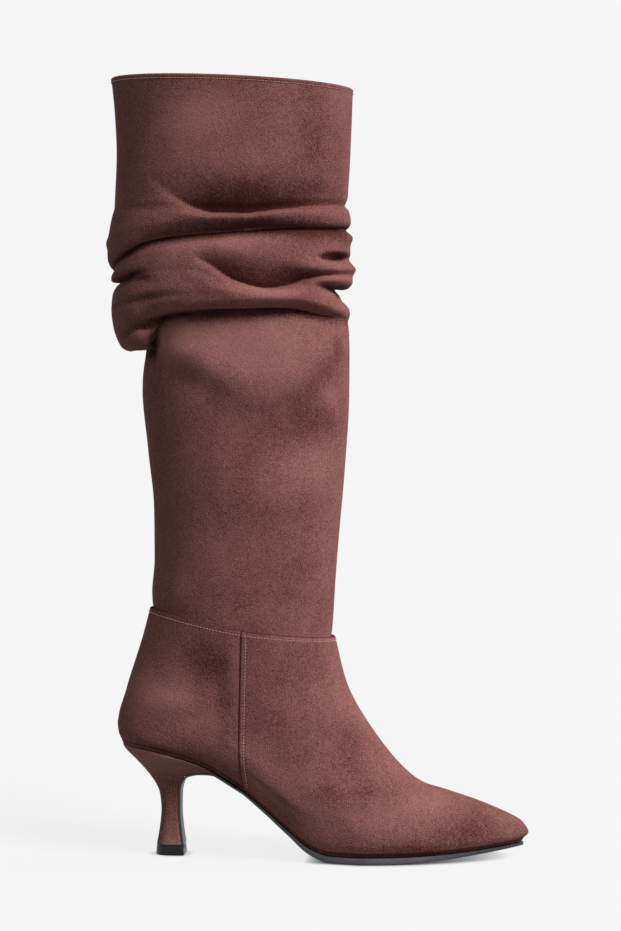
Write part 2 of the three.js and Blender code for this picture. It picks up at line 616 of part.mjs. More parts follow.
// The top piece: a D in plan, a little wider at the floor.
const topPieceColumns = 9;
function topPieceGeometry() {
  const shares = [];
  for (let i = 0; i <= topPieceColumns; i += 1) {
    shares.push(1 - Math.sin((Math.PI / 2) * (i / topPieceColumns)));
  }
  const ring = (z, inset) => {
    const reach = topPieceLength / 2 - inset;
    const half = topPieceWidth / 2 - inset;
    const point = (share, side) => vec(lerp(-reach, reach, share), side * heelHalf(half, share), z);
    const innerSide = shares.slice(0, -1).reverse().map((share) => point(share, 1));
    return [...shares.map((share) => point(share, -1)), ...innerSide];
  };
  const edgeHeight = 0.5; // the lower edge is eased up to here
  return bodyOf([ring(0, 0.4), ring(edgeHeight, 0), ring(topPieceHeight, topPieceInset)], false);
}

// The outsole: sections from the toe back along the foot, round under the heel's breast and down to the top
// piece. `at` is a share of the boot's length.
const soleRows = [
  { at: 0.25, thick: 2.2 },
  { at: 0.3, thick: soleWaist },
  { at: 0.42, thick: soleWaist },
  { at: 0.535, thick: soleBall },
  { at: 0.67, thick: soleBall },
  { at: 0.82, thick: (soleBall + soleToe) / 2 },
  { at: 1, thick: soleToe },
];
const soleThickness = (x) => rowAt(soleRows, "at", Math.max(shareOf(x), soleRows[0].at)).thick;
const edgeEase = 0.7; // share of the thickness below which the edge turns in
const edgeTurn = 0.03; // and how far it turns in, as a share of the width
function outsoleGeometry() {
  const stations = [];
  const footStation = (column) => {
    const upper = (turn) => {
      const p = bottomEdge(turn, -soleEdge);
      return p.setZ(p.z - bendClearance);
    };
    const lower = (p) => {
      const slope = bottomZ(p.x + 0.5) - bottomZ(p.x - 0.5);
      const long = Math.hypot(1, slope);
      const thick = soleThickness(p.x);
      return vec(p.x + (thick * slope) / long, p.y, Math.max(p.z - thick / long, 0));
    };
    const [outerTop, innerTop] = [upper(column), upper(wholeTurn - column)];
    return { outerTop, innerTop, outerLow: lower(outerTop), innerLow: lower(innerTop) };
  };
  stations.push(footStation(toeColumn - endTrim));
  for (let column = toeColumn - 1; column >= seamColumn; column -= 1) stations.push(footStation(column));
  for (let section = seatSection; section >= 0; section -= 1) {
    const share = heelSections[section].front;
    const above = heelPoint(Math.min(section + 1, seatSection), breastColumn, -1);
    const below = heelPoint(Math.max(section - 1, 0), breastColumn, -1);
    const run = vec(above.x - below.x, 0, above.z - below.z).normalize();
    const forward = vec(run.z, 0, -run.x);
    const thick = lerp(breastFlap, soleRows[0].thick, share * share);
    const top = (side) => heelPoint(section, breastColumn, side).addScaledVector(forward, clearance);
    const low = (p) => p.clone().addScaledVector(forward, thick);
    const [outerTop, innerTop] = [top(-1), top(1)];
    stations.push({ outerTop, innerTop, outerLow: low(outerTop), innerLow: low(innerTop) });
  }
  const eased = (top, low, other) => [top.clone().lerp(low, edgeEase), low.clone().lerp(other, edgeTurn)];
  const rings = stations.map(({ outerTop, innerTop, outerLow, innerLow }) => [
    outerTop,
    ...eased(outerTop, outerLow, innerLow),
    ...eased(innerTop, innerLow, outerLow).reverse(),
    innerTop,
  ]);
  return bodyOf(rings, false);
}

const finish = (name, color, roughness) =>
  new THREE.MeshStandardMaterial({ name, color, roughness, metalness: 0 });
const suedeBrown = 0x6b403a;
const suedeRough = 0.95;

const boot = new THREE.Group();
function add(name, geometry, material) {
  const mesh = new THREE.Mesh(geometry, material);
  mesh.name = name;
  boot.add(mesh);
}
add("upper", upperGeometry(), finish("upper", suedeBrown, suedeRough));
add("shaft", shaftGeometry(), finish("shaft", suedeBrown, suedeRough));
add("insole", insoleGeometry(), finish("sock", 0x4a3a34, 0.9));
add("outsole", outsoleGeometry(), finish("sole", 0x1c1c22, 0.5));
add("heel", heelGeometry(), finish("heel", suedeBrown, suedeRough));
add("top_piece", topPieceGeometry(), finish("top_piece", 0x222226, 0.45));

export default boot;
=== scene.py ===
import bpy
import numpy as np
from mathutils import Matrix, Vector


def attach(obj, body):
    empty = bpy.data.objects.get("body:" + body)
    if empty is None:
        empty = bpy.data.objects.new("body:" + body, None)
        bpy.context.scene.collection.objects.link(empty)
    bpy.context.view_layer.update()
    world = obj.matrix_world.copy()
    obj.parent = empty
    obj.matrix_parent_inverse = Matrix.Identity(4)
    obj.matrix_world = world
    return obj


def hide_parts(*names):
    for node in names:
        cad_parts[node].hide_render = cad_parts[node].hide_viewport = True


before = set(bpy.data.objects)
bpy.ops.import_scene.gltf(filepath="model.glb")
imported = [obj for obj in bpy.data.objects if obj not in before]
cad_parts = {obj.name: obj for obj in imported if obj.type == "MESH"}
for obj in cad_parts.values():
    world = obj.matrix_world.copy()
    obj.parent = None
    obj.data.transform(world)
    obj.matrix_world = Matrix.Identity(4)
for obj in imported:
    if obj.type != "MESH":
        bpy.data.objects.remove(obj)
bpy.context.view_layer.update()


# The foot part
# Vamp and quarters of soft suede with a thin lining, the vamp's edge lapped over the quarters at both side
# seams. It is pulled over the last and turned in under the insole; its folded top edge holds the leg.
# All lengths are millimetres: x forward from the middle of the heel's foot, y to the wearer's left, z up.
MM = 0.001
BOOT_LENGTH = 250
HEEL_SET_FORWARD = 32.4
HEEL_HEIGHT = 68.2
TOE_SPRING = 4.9
BALL_WIDTH = 73
TOE_SWING = 6
COUNTER_HEIGHT = 82
ANKLE_PITCH = 17.7
UPPER_WALL = 1.2
VAMP_LAP = 0.6
LASTING_MARGIN = 9
FEATHER_INSET = 1
FEATHER_TURN = 2.4
SOLE_BALL = 4.2
CLEARANCE = 0.3
BEND_CLEARANCE = 0.45
QUARTER_SHARES = [0, 0.019, 0.076, 0.176, 0.321, 0.481, 0.641, 0.7855, 1]
VAMP_SHARES = [
    0, 0.075, 0.147, 0.203, 0.253, 0.303, 0.36, 0.445, 0.559, 0.673, 0.787, 0.872, 0.936, 0.979, 1,
]
SEAM_COLUMN = len(QUARTER_SHARES) - 1
BREAST_COLUMN = SEAM_COLUMN - 1
TOE_COLUMN = SEAM_COLUMN + len(VAMP_SHARES) - 1
WHOLE_TURN = 2 * TOE_COLUMN


def columns(names, *rows):
    """A table with named columns, given row by row."""
    return dict(zip(names.split(), np.array(rows, float).T))


def lerp(a, b, t):
    """The value a share t of the way from a to b."""
    return a + (b - a) * t


def ease(t):
    """A smooth step from 0 to 1: 3 t squared less 2 t cubed, held at both ends."""
    t = np.clip(t, 0, 1)
    return t * t * (3 - 2 * t)


def bell(t):
    """A hump of height 1 around 0: e to the minus t squared."""
    return np.exp(-t * t)


def points(x, y, z):
    """Three arrays of coordinates as one array of points."""
    return np.stack(np.broadcast_arrays(x, y, z), -1)


def smooth_through(knots, values, at):
    """A cubic through values at the knots that never overshoots them: the slope at a knot is the harmonic
    mean of the slopes on its two sides, or 0 where they differ in sign. A value may be an array shaped as
    `at` is."""
    knots = np.asarray(knots, float)
    at = np.asarray(at, float)
    values = np.stack([np.broadcast_to(value, at.shape) for value in values])
    gaps = np.diff(knots)
    slopes = np.diff(values, axis=0) / gaps.reshape((-1,) + (1,) * at.ndim)
    before, after = slopes[:-1], slopes[1:]
    alike = before * after > 0
    middle = np.where(alike, 2 * before * after / np.where(alike, before + after, 1), 0)
    slopes = np.concatenate([slopes[:1], middle, slopes[-1:]])
    left = np.clip(np.searchsorted(knots, at, side="right") - 1, 0, len(gaps) - 1)
    t = np.clip((at - knots[left]) / gaps[left], 0, 1)

    def take(table, index):
        return np.take_along_axis(table, index[None], 0)[0]

    low, high = take(values, left), take(values, left + 1)
    bend = take(slopes, left) * t * (1 - t) ** 2 - take(slopes, left + 1) * t * t * (1 - t)
    return lerp(low, high, ease(t)) + gaps[left] * bend


def read(table, key, at):
    """A row of a table between its rows, by smooth_through in each column."""
    return {name: smooth_through(table[key], table[name], at) for name in table if name != key}


BOTTOM_LINE = columns(
    "at rise spring",
    (0.019, 1, 0),
    (0.09, 0.963, 0),
    (0.162, 0.895, 0),
    (0.21, 0.832, 0),
    (0.25, 0.755, 0),
    (0.308, 0.607, 0),
    (0.37, 0.406, 0),
    (0.43, 0.205, 0),
    (0.482, 0.056, 0),
    (0.525, 0.005, 0),
    (0.57, 0, 0),
    (0.67, 0, 0),
    (0.78, 0, 0.13),
    (0.89, 0, 0.5),
    (1, 0, 1),
)
BALL_TOP = SOLE_BALL + BEND_CLEARANCE


def along(share):
    """Length along the boot at a share of it from the back."""
    return share * BOOT_LENGTH - HEEL_SET_FORWARD


def share_at(x):
    """Share of the boot's length at a length along it."""
    return (x + HEEL_SET_FORWARD) / BOOT_LENGTH


def bottom_z(x):
    """Height of the last's bottom line: the ball's height, plus shares of the heel's rise and toe spring."""
    row = read(BOTTOM_LINE, "at", share_at(x))
    return BALL_TOP + row["rise"] * (HEEL_HEIGHT - BALL_TOP) + row["spring"] * TOE_SPRING


FOOT_LEVELS = columns(
    "level back back_up front front_up heel waist ball back_round front_round nose",
    (0, 0.009, 0, 0.988, 0, 0.71, 0.64, 1, 0.12, 0.4, 0.17),
    (0.08, 0.003, 0.045, 0.9985, 0.024, 0.78, 0.72, 1.035, 0.13, 0.41, 0.19),
    (0.18, 0, 0.113, 0.984, 0.075, 0.815, 0.8, 1.03, 0.15, 0.41, 0.2),
    (0.3, 0.004, 0.205, 0.906, 0.158, 0.835, 0.86, 0.99, 0.18, 0.39, 0.24),
    (0.42, 0.0135, 0.305, 0.804, 0.233, 0.845, 0.88, 0.96, 0.21, 0.37, 0.32),
    (0.48, 0.02, 0.367, 0.748, 0.269, 0.85, 0.89, 0.945, 0.23, 0.37, 0.42),
    (0.55, 0.0265, 0.44, 0.701, 0.34, 0.86, 0.9, 0.93, 0.26, 0.38, 0.6),
    (0.7, 0.045, 0.62, 0.626, 0.527, 0.9, 0.93, 0.94, 0.34, 0.42, 1.1),
    (0.85, 0.0635, 0.8, 0.559, 0.765, 0.975, 0.985, 0.985, 0.43, 0.46, 3),
    (1, 0.0808, 1, 0.529, 1, 1.055, 1.055, 1.055, 0.5, 0.5, 30),
)
BOTTOM_LEVEL = {name: values[0] for name, values in FOOT_LEVELS.items()}
ANKLE_LEVEL = {name: values[-1] for name, values in FOOT_LEVELS.items()}
LEAN = columns("at lean", (0, 0), (0.3, -0.22), (0.6, -0.3), (0.8, 0.15), (1, 1))
HEEL_AT, WAIST_AT, BALL_AT_OUTER, BALL_AT_INNER = 0.1, 0.34, 0.6, 0.66
SEAT_TOP = HEEL_HEIGHT + FEATHER_TURN
ANKLE_BACK_Z = HEEL_HEIGHT + COUNTER_HEIGHT
ANKLE_FRONT_Z = ANKLE_BACK_Z - ANKLE_PITCH
SEAM_AT = 0.318
SEAM_BOW = 0.007
ANKLE_END_RISE = 0.9
ANKLE_SAG = 2.4
ANKLE_BOW_FROM = 0.7


def column_of(turn):
    """A turn around the boot, as columns counted from the back to the toe on either side."""
    turn = np.mod(turn, WHOLE_TURN)
    return np.minimum(turn, WHOLE_TURN - turn)


def side_of(turn):
    """-1 on the outer side of the boot, 1 on the inner side."""
    return np.where(np.mod(turn, WHOLE_TURN) <= TOE_COLUMN, -1, 1)


def end_taper(share, row):
    """Share of full width at a share of a level: a round back, and a front between a point and an ellipse."""
    back = np.clip(share / row["back_round"], 0, 1)
    front = np.clip((1 - share) / row["front_round"], 0, 1)
    full = front * (2 - front)
    nose = row["nose"]
    taper = np.sqrt(((nose + full) ** 2 - nose**2) / ((nose + 1) ** 2 - nose**2))
    return np.sqrt(back * (2 - back)) * taper


def seam_share(row, level):
    """Share of a level at which its side seam lies: nearly upright, bowed back a little at mid height."""
    return (SEAM_AT - SEAM_BOW * np.sin(np.pi * level) - row["back"]) / (row["front"] - row["back"])


def share_of_turn(turn, seam):
    """Share of a level that a turn reaches, when the side seam lies at share `seam` of it."""
    column = column_of(turn)
    quarter = np.interp(column, np.arange(SEAM_COLUMN + 1), QUARTER_SHARES)
    vamp = np.interp(column, np.arange(SEAM_COLUMN, TOE_COLUMN + 1), VAMP_SHARES)
    return seam * quarter + (1 - seam) * vamp


def lean_at(x):
    """Sideways lean of the last's middle line."""
    return read(LEAN, "at", share_at(x))["lean"] * TOE_SWING


def foot_surface(turn, level):
    """The last's surface: at each level a rounded wedge from the counter to the toe's ridge, whose half-width
    passes through the heel's, waist's and ball's. Low levels dip with the bottom line, and near the ankle the
    edge bows: up a little at its two ends and down between them."""
    row = read(FOOT_LEVELS, "level", level)
    share = share_of_turn(turn, seam_share(row, level))
    x = along(lerp(row["back"], row["front"], share))
    toe_z = bottom_z(along(BOTTOM_LEVEL["front"])) + FEATHER_TURN
    edge_x = along(lerp(BOTTOM_LEVEL["back"], BOTTOM_LEVEL["front"], share))
    dip = bottom_z(edge_x) + FEATHER_TURN - lerp(SEAT_TOP, toe_z, share)
    back_z = lerp(SEAT_TOP, ANKLE_BACK_Z, row["back_up"])
    front_z = lerp(toe_z, ANKLE_FRONT_Z, row["front_up"])
    side = side_of(turn)
    widths = [row["heel"], row["waist"], row["ball"]]
    outer = smooth_through([HEEL_AT, WAIST_AT, BALL_AT_OUTER], widths, share)
    inner = smooth_through([HEEL_AT, WAIST_AT, BALL_AT_INNER], widths, share)
    half = np.where(side < 0, outer, inner) * BALL_WIDTH * end_taper(share, row) / 2
    y = lean_at(x) * (1 - level * level) + side * half
    near_ankle = ease((level - ANKLE_BOW_FROM) / (1 - ANKLE_BOW_FROM))
    bow = (ANKLE_END_RISE - ANKLE_SAG * np.sin(np.pi * share)) * near_ankle
    return points(x, y, lerp(back_z, front_z, share) + dip * (1 - level) + bow)


TURN_STEP = 0.04
LEVEL_STEP = 1e-3


def outward(surface, turn, level):
    """Unit normal of a surface: the cross product of a small step around it and a small step up it."""
    across = surface(turn + TURN_STEP, level) - surface(turn - TURN_STEP, level)
    above = surface(turn, np.minimum(level + LEVEL_STEP, 1))
    rise = above - surface(turn, np.maximum(level - LEVEL_STEP, 0))
    normal = np.cross(across, rise)
    return normal / np.linalg.norm(normal, axis=-1, keepdims=True)


def bottom_edge(turn, inset):
    """The foot's bottom edge, moved inwards by `inset` in plan and laid on the bottom line."""
    step = foot_surface(turn + TURN_STEP, 0.0) - foot_surface(turn - TURN_STEP, 0.0)
    out = points(step[..., 1], -step[..., 0], 0)
    edge = foot_surface(turn, 0.0) - inset * out / np.linalg.norm(out, axis=-1, keepdims=True)
    edge[..., 2] = bottom_z(edge[..., 0])
    return edge


TOE_MARGIN_DEPTH = 2.5
END_HOLD = 4


def margin_edge(turn, extra):
    """A line inside the bottom edge: the edge drawn in on itself sideways, and lengthwise at its two ends."""
    edge = foot_surface(turn, 0.0)
    bottom_length = BOOT_LENGTH * (BOTTOM_LEVEL["front"] - BOTTOM_LEVEL["back"])
    share = (edge[..., 0] - along(BOTTOM_LEVEL["back"])) / bottom_length
    deep = LASTING_MARGIN + extra
    x = edge[..., 0] + deep * (1 - share) ** END_HOLD - TOE_MARGIN_DEPTH * deep * share**END_HOLD
    y = lean_at(x) + (edge[..., 1] - lean_at(edge[..., 0])) * (1 - 2 * deep / BALL_WIDTH)
    return points(x, y, bottom_z(x))


# Reliefs of the foot part's outer face.
STITCH_IN = 2.6
STITCH_DENT = 0.5
LAP_FOLD = 0.12
SEAM_DENT = 0.2
EDGE_ROLL = 0.12
EDGE_DENT = 0.14
EDGE_ROUND = 0.45
# Painted shade at the foot part's top and bottom edges, and a painted highlight along its folded top edge.
EDGE_SHADE = 0.6
EDGE_HIGHLIGHT = 0.3
SEAM_GROOVE = 0.85
FOOT_HOLLOWS = columns(
    "x z long tall deep",
    (20, 116, 13, 15, 1.5),
    (2, 96, 16, 9, -0.9),
    (34, 98, 5, 22, 0.7),
    (68, 84, 13, 16, -0.6),
    (60, 52, 12, 10, 0.6),
    (97, 47, 16, 13, -0.6),
    (96, 22, 13, 8, 0.7),
    (117, 40, 7, 5, 0.5),
    (126, 46, 5, 7, -0.4),
    (128, 18, 22, 9, -0.5),
    (160, 26, 20, 8, -0.4),
)


RIDGE_FADE = 12


def side_fields(place, table, amount, inner_share=0.6):
    """Sum of soft ovals laid on the boot's side by x and z, full on the outer side, weaker on the inner and
    dying out towards the middle plane."""
    x, y, z = (place[..., axis] for axis in range(3))
    side = np.where(y < 0, 1, inner_share) * ease(np.abs(y) / RIDGE_FADE)
    total = np.zeros(x.shape)
    for i in range(len(table["x"])):
        far = ((x - table["x"][i]) / table["long"][i]) ** 2 + ((z - table["z"][i]) / table["tall"][i]) ** 2
        total += table[amount][i] * np.exp(-far)
    return total * side


def below_ankle(turn, level):
    """Distance down the foot part's face from its top edge."""
    row = read(FOOT_LEVELS, "level", level)
    share = share_of_turn(turn, seam_share(row, level))
    last = FOOT_LEVELS["level"][-1] - FOOT_LEVELS["level"][-2]
    back_run = (ANKLE_BACK_Z - SEAT_TOP) * (1 - FOOT_LEVELS["back_up"][-2]) / last
    front_run = (ANKLE_FRONT_Z - bottom_z(along(1.0))) * (1 - FOOT_LEVELS["front_up"][-2]) / last
    return (1 - level) * lerp(back_run, front_run, share)


def past_seam(turn, level):
    """Distance forward of the side seam, negative on the quarter."""
    row = read(FOOT_LEVELS, "level", level)
    seam = seam_share(row, level)
    return (share_of_turn(turn, seam) - seam) * (row["front"] - row["back"]) * BOOT_LENGTH


def foot_form(turn, level):
    """The last's surface with the soft hollows of the suede."""
    turn, level = np.broadcast_arrays(turn, level)
    place = foot_surface(turn, level)
    hollows = side_fields(place, FOOT_HOLLOWS, "deep")
    return place - hollows[..., None] * outward(foot_surface, turn, level)


def foot_skin(turn, level):
    """The finished outer face: the foot's form, moved out by the vamp's lap and the rolled top edge, and in
    at the seam's groove, along the stitch lines and at the very edge."""
    turn, level = np.broadcast_arrays(turn, level)
    forward = past_seam(turn, level)
    down = below_ankle(turn, level)
    lap = VAMP_LAP * ease((forward + 0.15) / 0.3) + LAP_FOLD * bell((forward - 0.9) / 0.7)
    groove = SEAM_GROOVE * bell((forward + 0.45) / 0.38)
    groove = groove + SEAM_DENT * bell((forward - STITCH_IN) / STITCH_DENT)
    roll = EDGE_ROLL * bell((down - 1.1) / 0.8) - EDGE_DENT * bell((down - STITCH_IN) / STITCH_DENT)
    roll = roll - EDGE_ROUND * np.clip(1 - down / 0.5, 0, 1) ** 2
    return foot_form(turn, level) + (lap - groove + roll)[..., None] * outward(foot_surface, turn, level)


def skin(name, grid, inner_rows=(), closed=True):
    """A mesh over rows of points. Each row closes on itself, and with `closed` the last row joins the first.
    The rows from inner_rows[0] up to inner_rows[1] take the second material."""
    rows, count = grid.shape[:2]
    index = np.arange(rows * count).reshape(rows, count)
    beside = np.roll(index, -1, 1)
    faces = np.stack([index, beside, np.roll(beside, -1, 0), np.roll(index, -1, 0)], -1)
    faces = faces if closed else faces[:-1]
    inner = np.zeros(faces.shape[:2], np.int32)
    inner[slice(*inner_rows) if inner_rows else slice(0)] = 1
    return mesh_of(name, grid.reshape(-1, 3), faces.reshape(-1, 4), inner.ravel())


def mesh_of(name, places, faces, second=None):
    """An object from an array of points in millimetres and an array of faces that have as many corners each.
    `second` is 1 for each face that takes the second material."""
    sides = faces.shape[1]
    mesh = bpy.data.meshes.new(name)
    mesh.vertices.add(len(places))
    mesh.vertices.foreach_set("co", (places * MM).astype(np.float32).ravel())
    mesh.loops.add(faces.size)
    mesh.loops.foreach_set("vertex_index", faces.astype(np.int32).ravel())
    mesh.polygons.add(len(faces))
    mesh.polygons.foreach_set("loop_start", np.arange(0, faces.size, sides, dtype=np.int32))
    mesh.update(calc_edges=True)
    mesh.polygons.foreach_set("use_smooth", np.ones(len(faces), bool))
    if second is not None:
        mesh.polygons.foreach_set("material_index", second.astype(np.int32))
    mesh.validate()
    piece = bpy.data.objects.new(name, mesh)
    bpy.context.scene.collection.objects.link(piece)
    return piece


def paint(piece, name, values):
    """Keeps one number for each point of a piece, for its material to read."""
    attribute = piece.data.attributes.new(name, "FLOAT", "POINT")
    attribute.data.foreach_set("value", values.astype(np.float32).ravel())


class Wire:
    """A shader socket that can stand in sums: each operator adds the Math node it names."""

    def __init__(self, finish, socket):
        self.finish = finish
        self.socket = socket

    def math(self, operation, first, second):
        return self.finish.node("ShaderNodeMath", {"operation": operation}, {0: first, 1: second})

    def __add__(self, other):
        return self.math("ADD", self, other)

    def __radd__(self, other):
        return self.math("ADD", other, self)

    def __sub__(self, other):
        return self.math("SUBTRACT", self, other)

    def __rsub__(self, other):
        return self.math("SUBTRACT", other, self)

    def __mul__(self, other):
        return self.math("MULTIPLY", self, other)

    def __rmul__(self, other):
        return self.math("MULTIPLY", other, self)


class Finish:
    """A material under construction."""

    def __init__(self, name):
        self.material = bpy.data.materials.new(name)
        self.material.use_nodes = True
        self.tree = self.material.node_tree
        self.tree.nodes.clear()

    def node(self, kind, settings, sockets, out=0):
        """Adds a node: its settings are set first, then its sockets get values or links."""
        node = self.tree.nodes.new(kind)
        for name, value in settings.items():
            setattr(node, name, value)
        for name, value in sockets.items():
            if isinstance(value, Wire):
                self.tree.links.new(value.socket, node.inputs[name])
            else:
                node.inputs[name].default_value = value
        return Wire(self, node.outputs[out] if node.outputs else None)

    def place(self, stretch=(1, 1, 1), turn=(0, 0, 0)):
        """Object coordinates, stretched and turned."""
        where = self.node("ShaderNodeTexCoord", {}, {}, 3)
        return self.node("ShaderNodeMapping", {}, {"Vector": where, "Scale": stretch, "Rotation": turn})

    def grain(self, size, where=None, detail=2.0, rough=0.5):
        """Noise from about -1 to 1 with grains `size` millimetres across."""
        where = where or self.place()
        sockets = {"Vector": where, "Scale": 1 / (size * MM), "Detail": detail, "Roughness": rough}
        return self.node("ShaderNodeTexNoise", {}, sockets) * 2 - 1

    def blend(self, share, first, second):
        """One colour turning into another as share goes from 0 to 1."""
        settings = {"data_type": "RGBA", "clamp_factor": True}
        return self.node("ShaderNodeMix", settings, {0: share, 6: first, 7: second}, 2)

    def bump(self, height, reach, strength=1.0):
        """A normal bent by a height from 0 to 1 that stands for `reach` millimetres."""
        sockets = {"Height": height, "Distance": reach * MM, "Strength": strength}
        return self.node("ShaderNodeBump", {}, sockets)

    def done(self, **sockets):
        """Ends the material in one Principled shader and returns it."""
        named = {name.replace("_", " "): value for name, value in sockets.items()}
        shader = self.node("ShaderNodeBsdfPrincipled", {}, named)
        self.node("ShaderNodeOutputMaterial", {}, {"Surface": shader})
        return self.material


def dye(red, green, blue):
    """A colour from its screen values, 0 to 255."""
    screen = np.array([red, green, blue]) / 255
    light = np.where(screen <= 0.04045, screen / 12.92, ((screen + 0.055) / 1.055) ** 2.4)
    return (*light.tolist(), 1.0)


# Near black, for the painted shade deep in the creases.
SUEDE_SHADE = dye(22, 9, 8)


def suede(name, dark, light):
    """Brushed suede: the nap lies lighter or darker in soft clouds and strokes, with fine pale fibre ends. A
    painted attribute adds nap patches and painted light and shade to it. Where that runs far below the dark
    tone, deep in a crease, the suede goes on towards black as painted shade."""
    finish = Finish(name)
    brushed = finish.place((1, 1, 0.45), (0, 0.5, 0))
    clouds = finish.grain(34, detail=3.0, rough=0.55) * 0.4 + finish.grain(9, brushed, 3.0, 0.6) * 0.18
    fibres = finish.grain(0.62, detail=1.0, rough=0.6)
    tufts = finish.grain(2.4, detail=2.0, rough=0.6)
    share = clouds * 0.75 + fibres * 0.85 + tufts * 0.22 + 0.55
    # The painted attribute adds nap patches and painted light and shade: lit crowns, shaded creases and
    # edges.
    share = share + finish.node("ShaderNodeAttribute", {"attribute_name": "nap_and_painted_light"}, {}, 2)
    nap_and_painted_light_colour = finish.blend(share, dark, light)
    height = fibres * 0.5 + tufts * 0.35 + clouds * 0.3
    return finish.done(
        # Far below the dark tone the colour runs on towards near black: painted shade deep in the creases.
        Base_Color=finish.blend((share + 0.3) * -1.3, nap_and_painted_light_colour, SUEDE_SHADE),
        Roughness=0.93,
        Specular_IOR_Level=0.04,
        Sheen_Weight=0.06,
        Sheen_Roughness=0.4,
        Sheen_Tint=dye(214, 150, 140),
        Normal=finish.bump(height, 0.5, 0.9),
    )


def lining(name):
    """Smooth brown lining leather with a faint pebble."""
    finish = Finish(name)
    pebble = finish.grain(1.6, detail=3.0) * 0.6 + finish.grain(18) * 0.4
    colour = finish.blend(pebble * 0.5 + 0.5, dye(58, 40, 36), dye(82, 58, 51))
    return finish.done(
        Base_Color=colour,
        Roughness=0.62,
        Specular_IOR_Level=0.3,
        Normal=finish.bump(pebble, 0.12, 0.5),
    )


def dress(piece, slot, nodes, *materials):
    """Gives a piece its materials and its CAD nodes, and lets it ride on the boot's one body; its slot is not
    used.
    """
    for material in materials:
        piece.data.materials.append(material)
    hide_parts(*nodes)
    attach(piece, "root")


NEAR_SEAM = [0, 0.012, 0.025, 0.04, 0.06, 0.085, 0.12, 0.16, 0.21, 0.27, 0.34, 0.42, 0.52, 0.64, 0.8]
TOP_LEVELS = [0, 0.0012, 0.0025, 0.004, 0.006, 0.009, 0.012, 0.015, 0.018, 0.021, 0.025, 0.03, 0.038, 0.05]


def foot_turns():
    """Turns around the foot, closer together on both sides of each side seam and around the toe."""
    near = np.array(NEAR_SEAM)
    quarter = np.concatenate([np.linspace(0, SEAM_COLUMN - 1, 36), SEAM_COLUMN - near[::-1]])
    vamp = np.concatenate([SEAM_COLUMN + near[1:], np.linspace(SEAM_COLUMN + 1, TOE_COLUMN, 74)])
    side = np.unique(np.round(np.concatenate([quarter, vamp]), 4))
    return np.concatenate([side, WHOLE_TURN - side[-2:0:-1]])


turns = foot_turns()[None, :]
outer_levels = np.concatenate([np.linspace(0, 0.94, 84), 1 - np.array(TOP_LEVELS[::-1])])[:, None]
inner_levels = np.linspace(1, 0, 32)[:, None]
outer_face = foot_skin(turns, outer_levels)
inner_face = foot_form(turns, inner_levels) - UPPER_WALL * outward(foot_surface, turns, inner_levels)
raised = np.array([0, 0, UPPER_WALL])
under = np.concatenate([
    margin_edge(turns, 0),
    bottom_edge(turns, FEATHER_INSET + 2),
    bottom_edge(turns, FEATHER_INSET),
])
over = np.concatenate([bottom_edge(turns, FEATHER_INSET + UPPER_WALL), margin_edge(turns, 0)]) + raised
foot_grid = np.concatenate([under, outer_face, inner_face, over])
foot = skin("foot_part", foot_grid, (len(under) + len(outer_face), None))
# Soft ovals on the foot part's suede: nap tone mixed with painted light and shade. There are paler patches
# where the suede turns from the light, and darker ones low on the toe and along the sole.
FOOT_NAP_AND_PAINTED_LIGHT = columns(
    "x z long tall tone",
    (24, 118, 12, 14, -0.36),
    (20, 84, 14, 6, 0.25),
    (2, 97, 14, 8, 0.5),
    (36, 100, 5, 26, -0.2),
    (43, 110, 3, 34, 0.12),
    (64, 112, 14, 14, -0.1),
    (86, 122, 12, 16, -0.22),
    (34, 119, 6, 7, -0.2),
    (-14, 100, 10, 12, 0.35),
    (48, 66, 16, 9, 0.22),
    (68, 46, 24, 14, 0.25),
    (94, 26, 16, 11, 0.2),
    (66, 88, 7, 5, -0.12),
    (102, 44, 9, 8, -0.16),
    (114, 57, 8, 7, -0.2),
    (128, 22, 20, 8, 0.16),
    (120, 44, 8, 4, -0.16),
    (136, 38, 8, 5, -0.12),
    (152, 34, 22, 6, 0.2),
    (172, 40, 14, 5, 0.1),
    (184, 18, 24, 9, -0.26),
    (146, 9, 24, 6, -0.42),
    (112, 70, 12, 12, -0.22),
)
foot_nap_and_painted_light = side_fields(foot_grid, FOOT_NAP_AND_PAINTED_LIGHT, "tone")
down = below_ankle(*np.broadcast_arrays(turns, outer_levels))
# A painted highlight along the folded top edge forward of x 38, and painted shade in the gap above the top
# edge and along the bottom edge over the sole.
edge_highlight = EDGE_HIGHLIGHT * bell((down - 1.5) / 0.8) * ease((outer_face[..., 0] - 38) / 8)
edge_shade = EDGE_SHADE * (bell(down / 0.7) + bell(outer_levels / 0.008))
foot_nap_and_painted_light[len(under):len(under) + len(outer_face)] += edge_highlight - edge_shade
paint(foot, "nap_and_painted_light", foot_nap_and_painted_light)
SUEDE_DARK = dye(84, 43, 40)
SUEDE_LIGHT = dye(172, 117, 109)
dress(foot, "suede", ["upper"], suede("foot_suede", SUEDE_DARK, SUEDE_LIGHT), lining("foot_lining"))


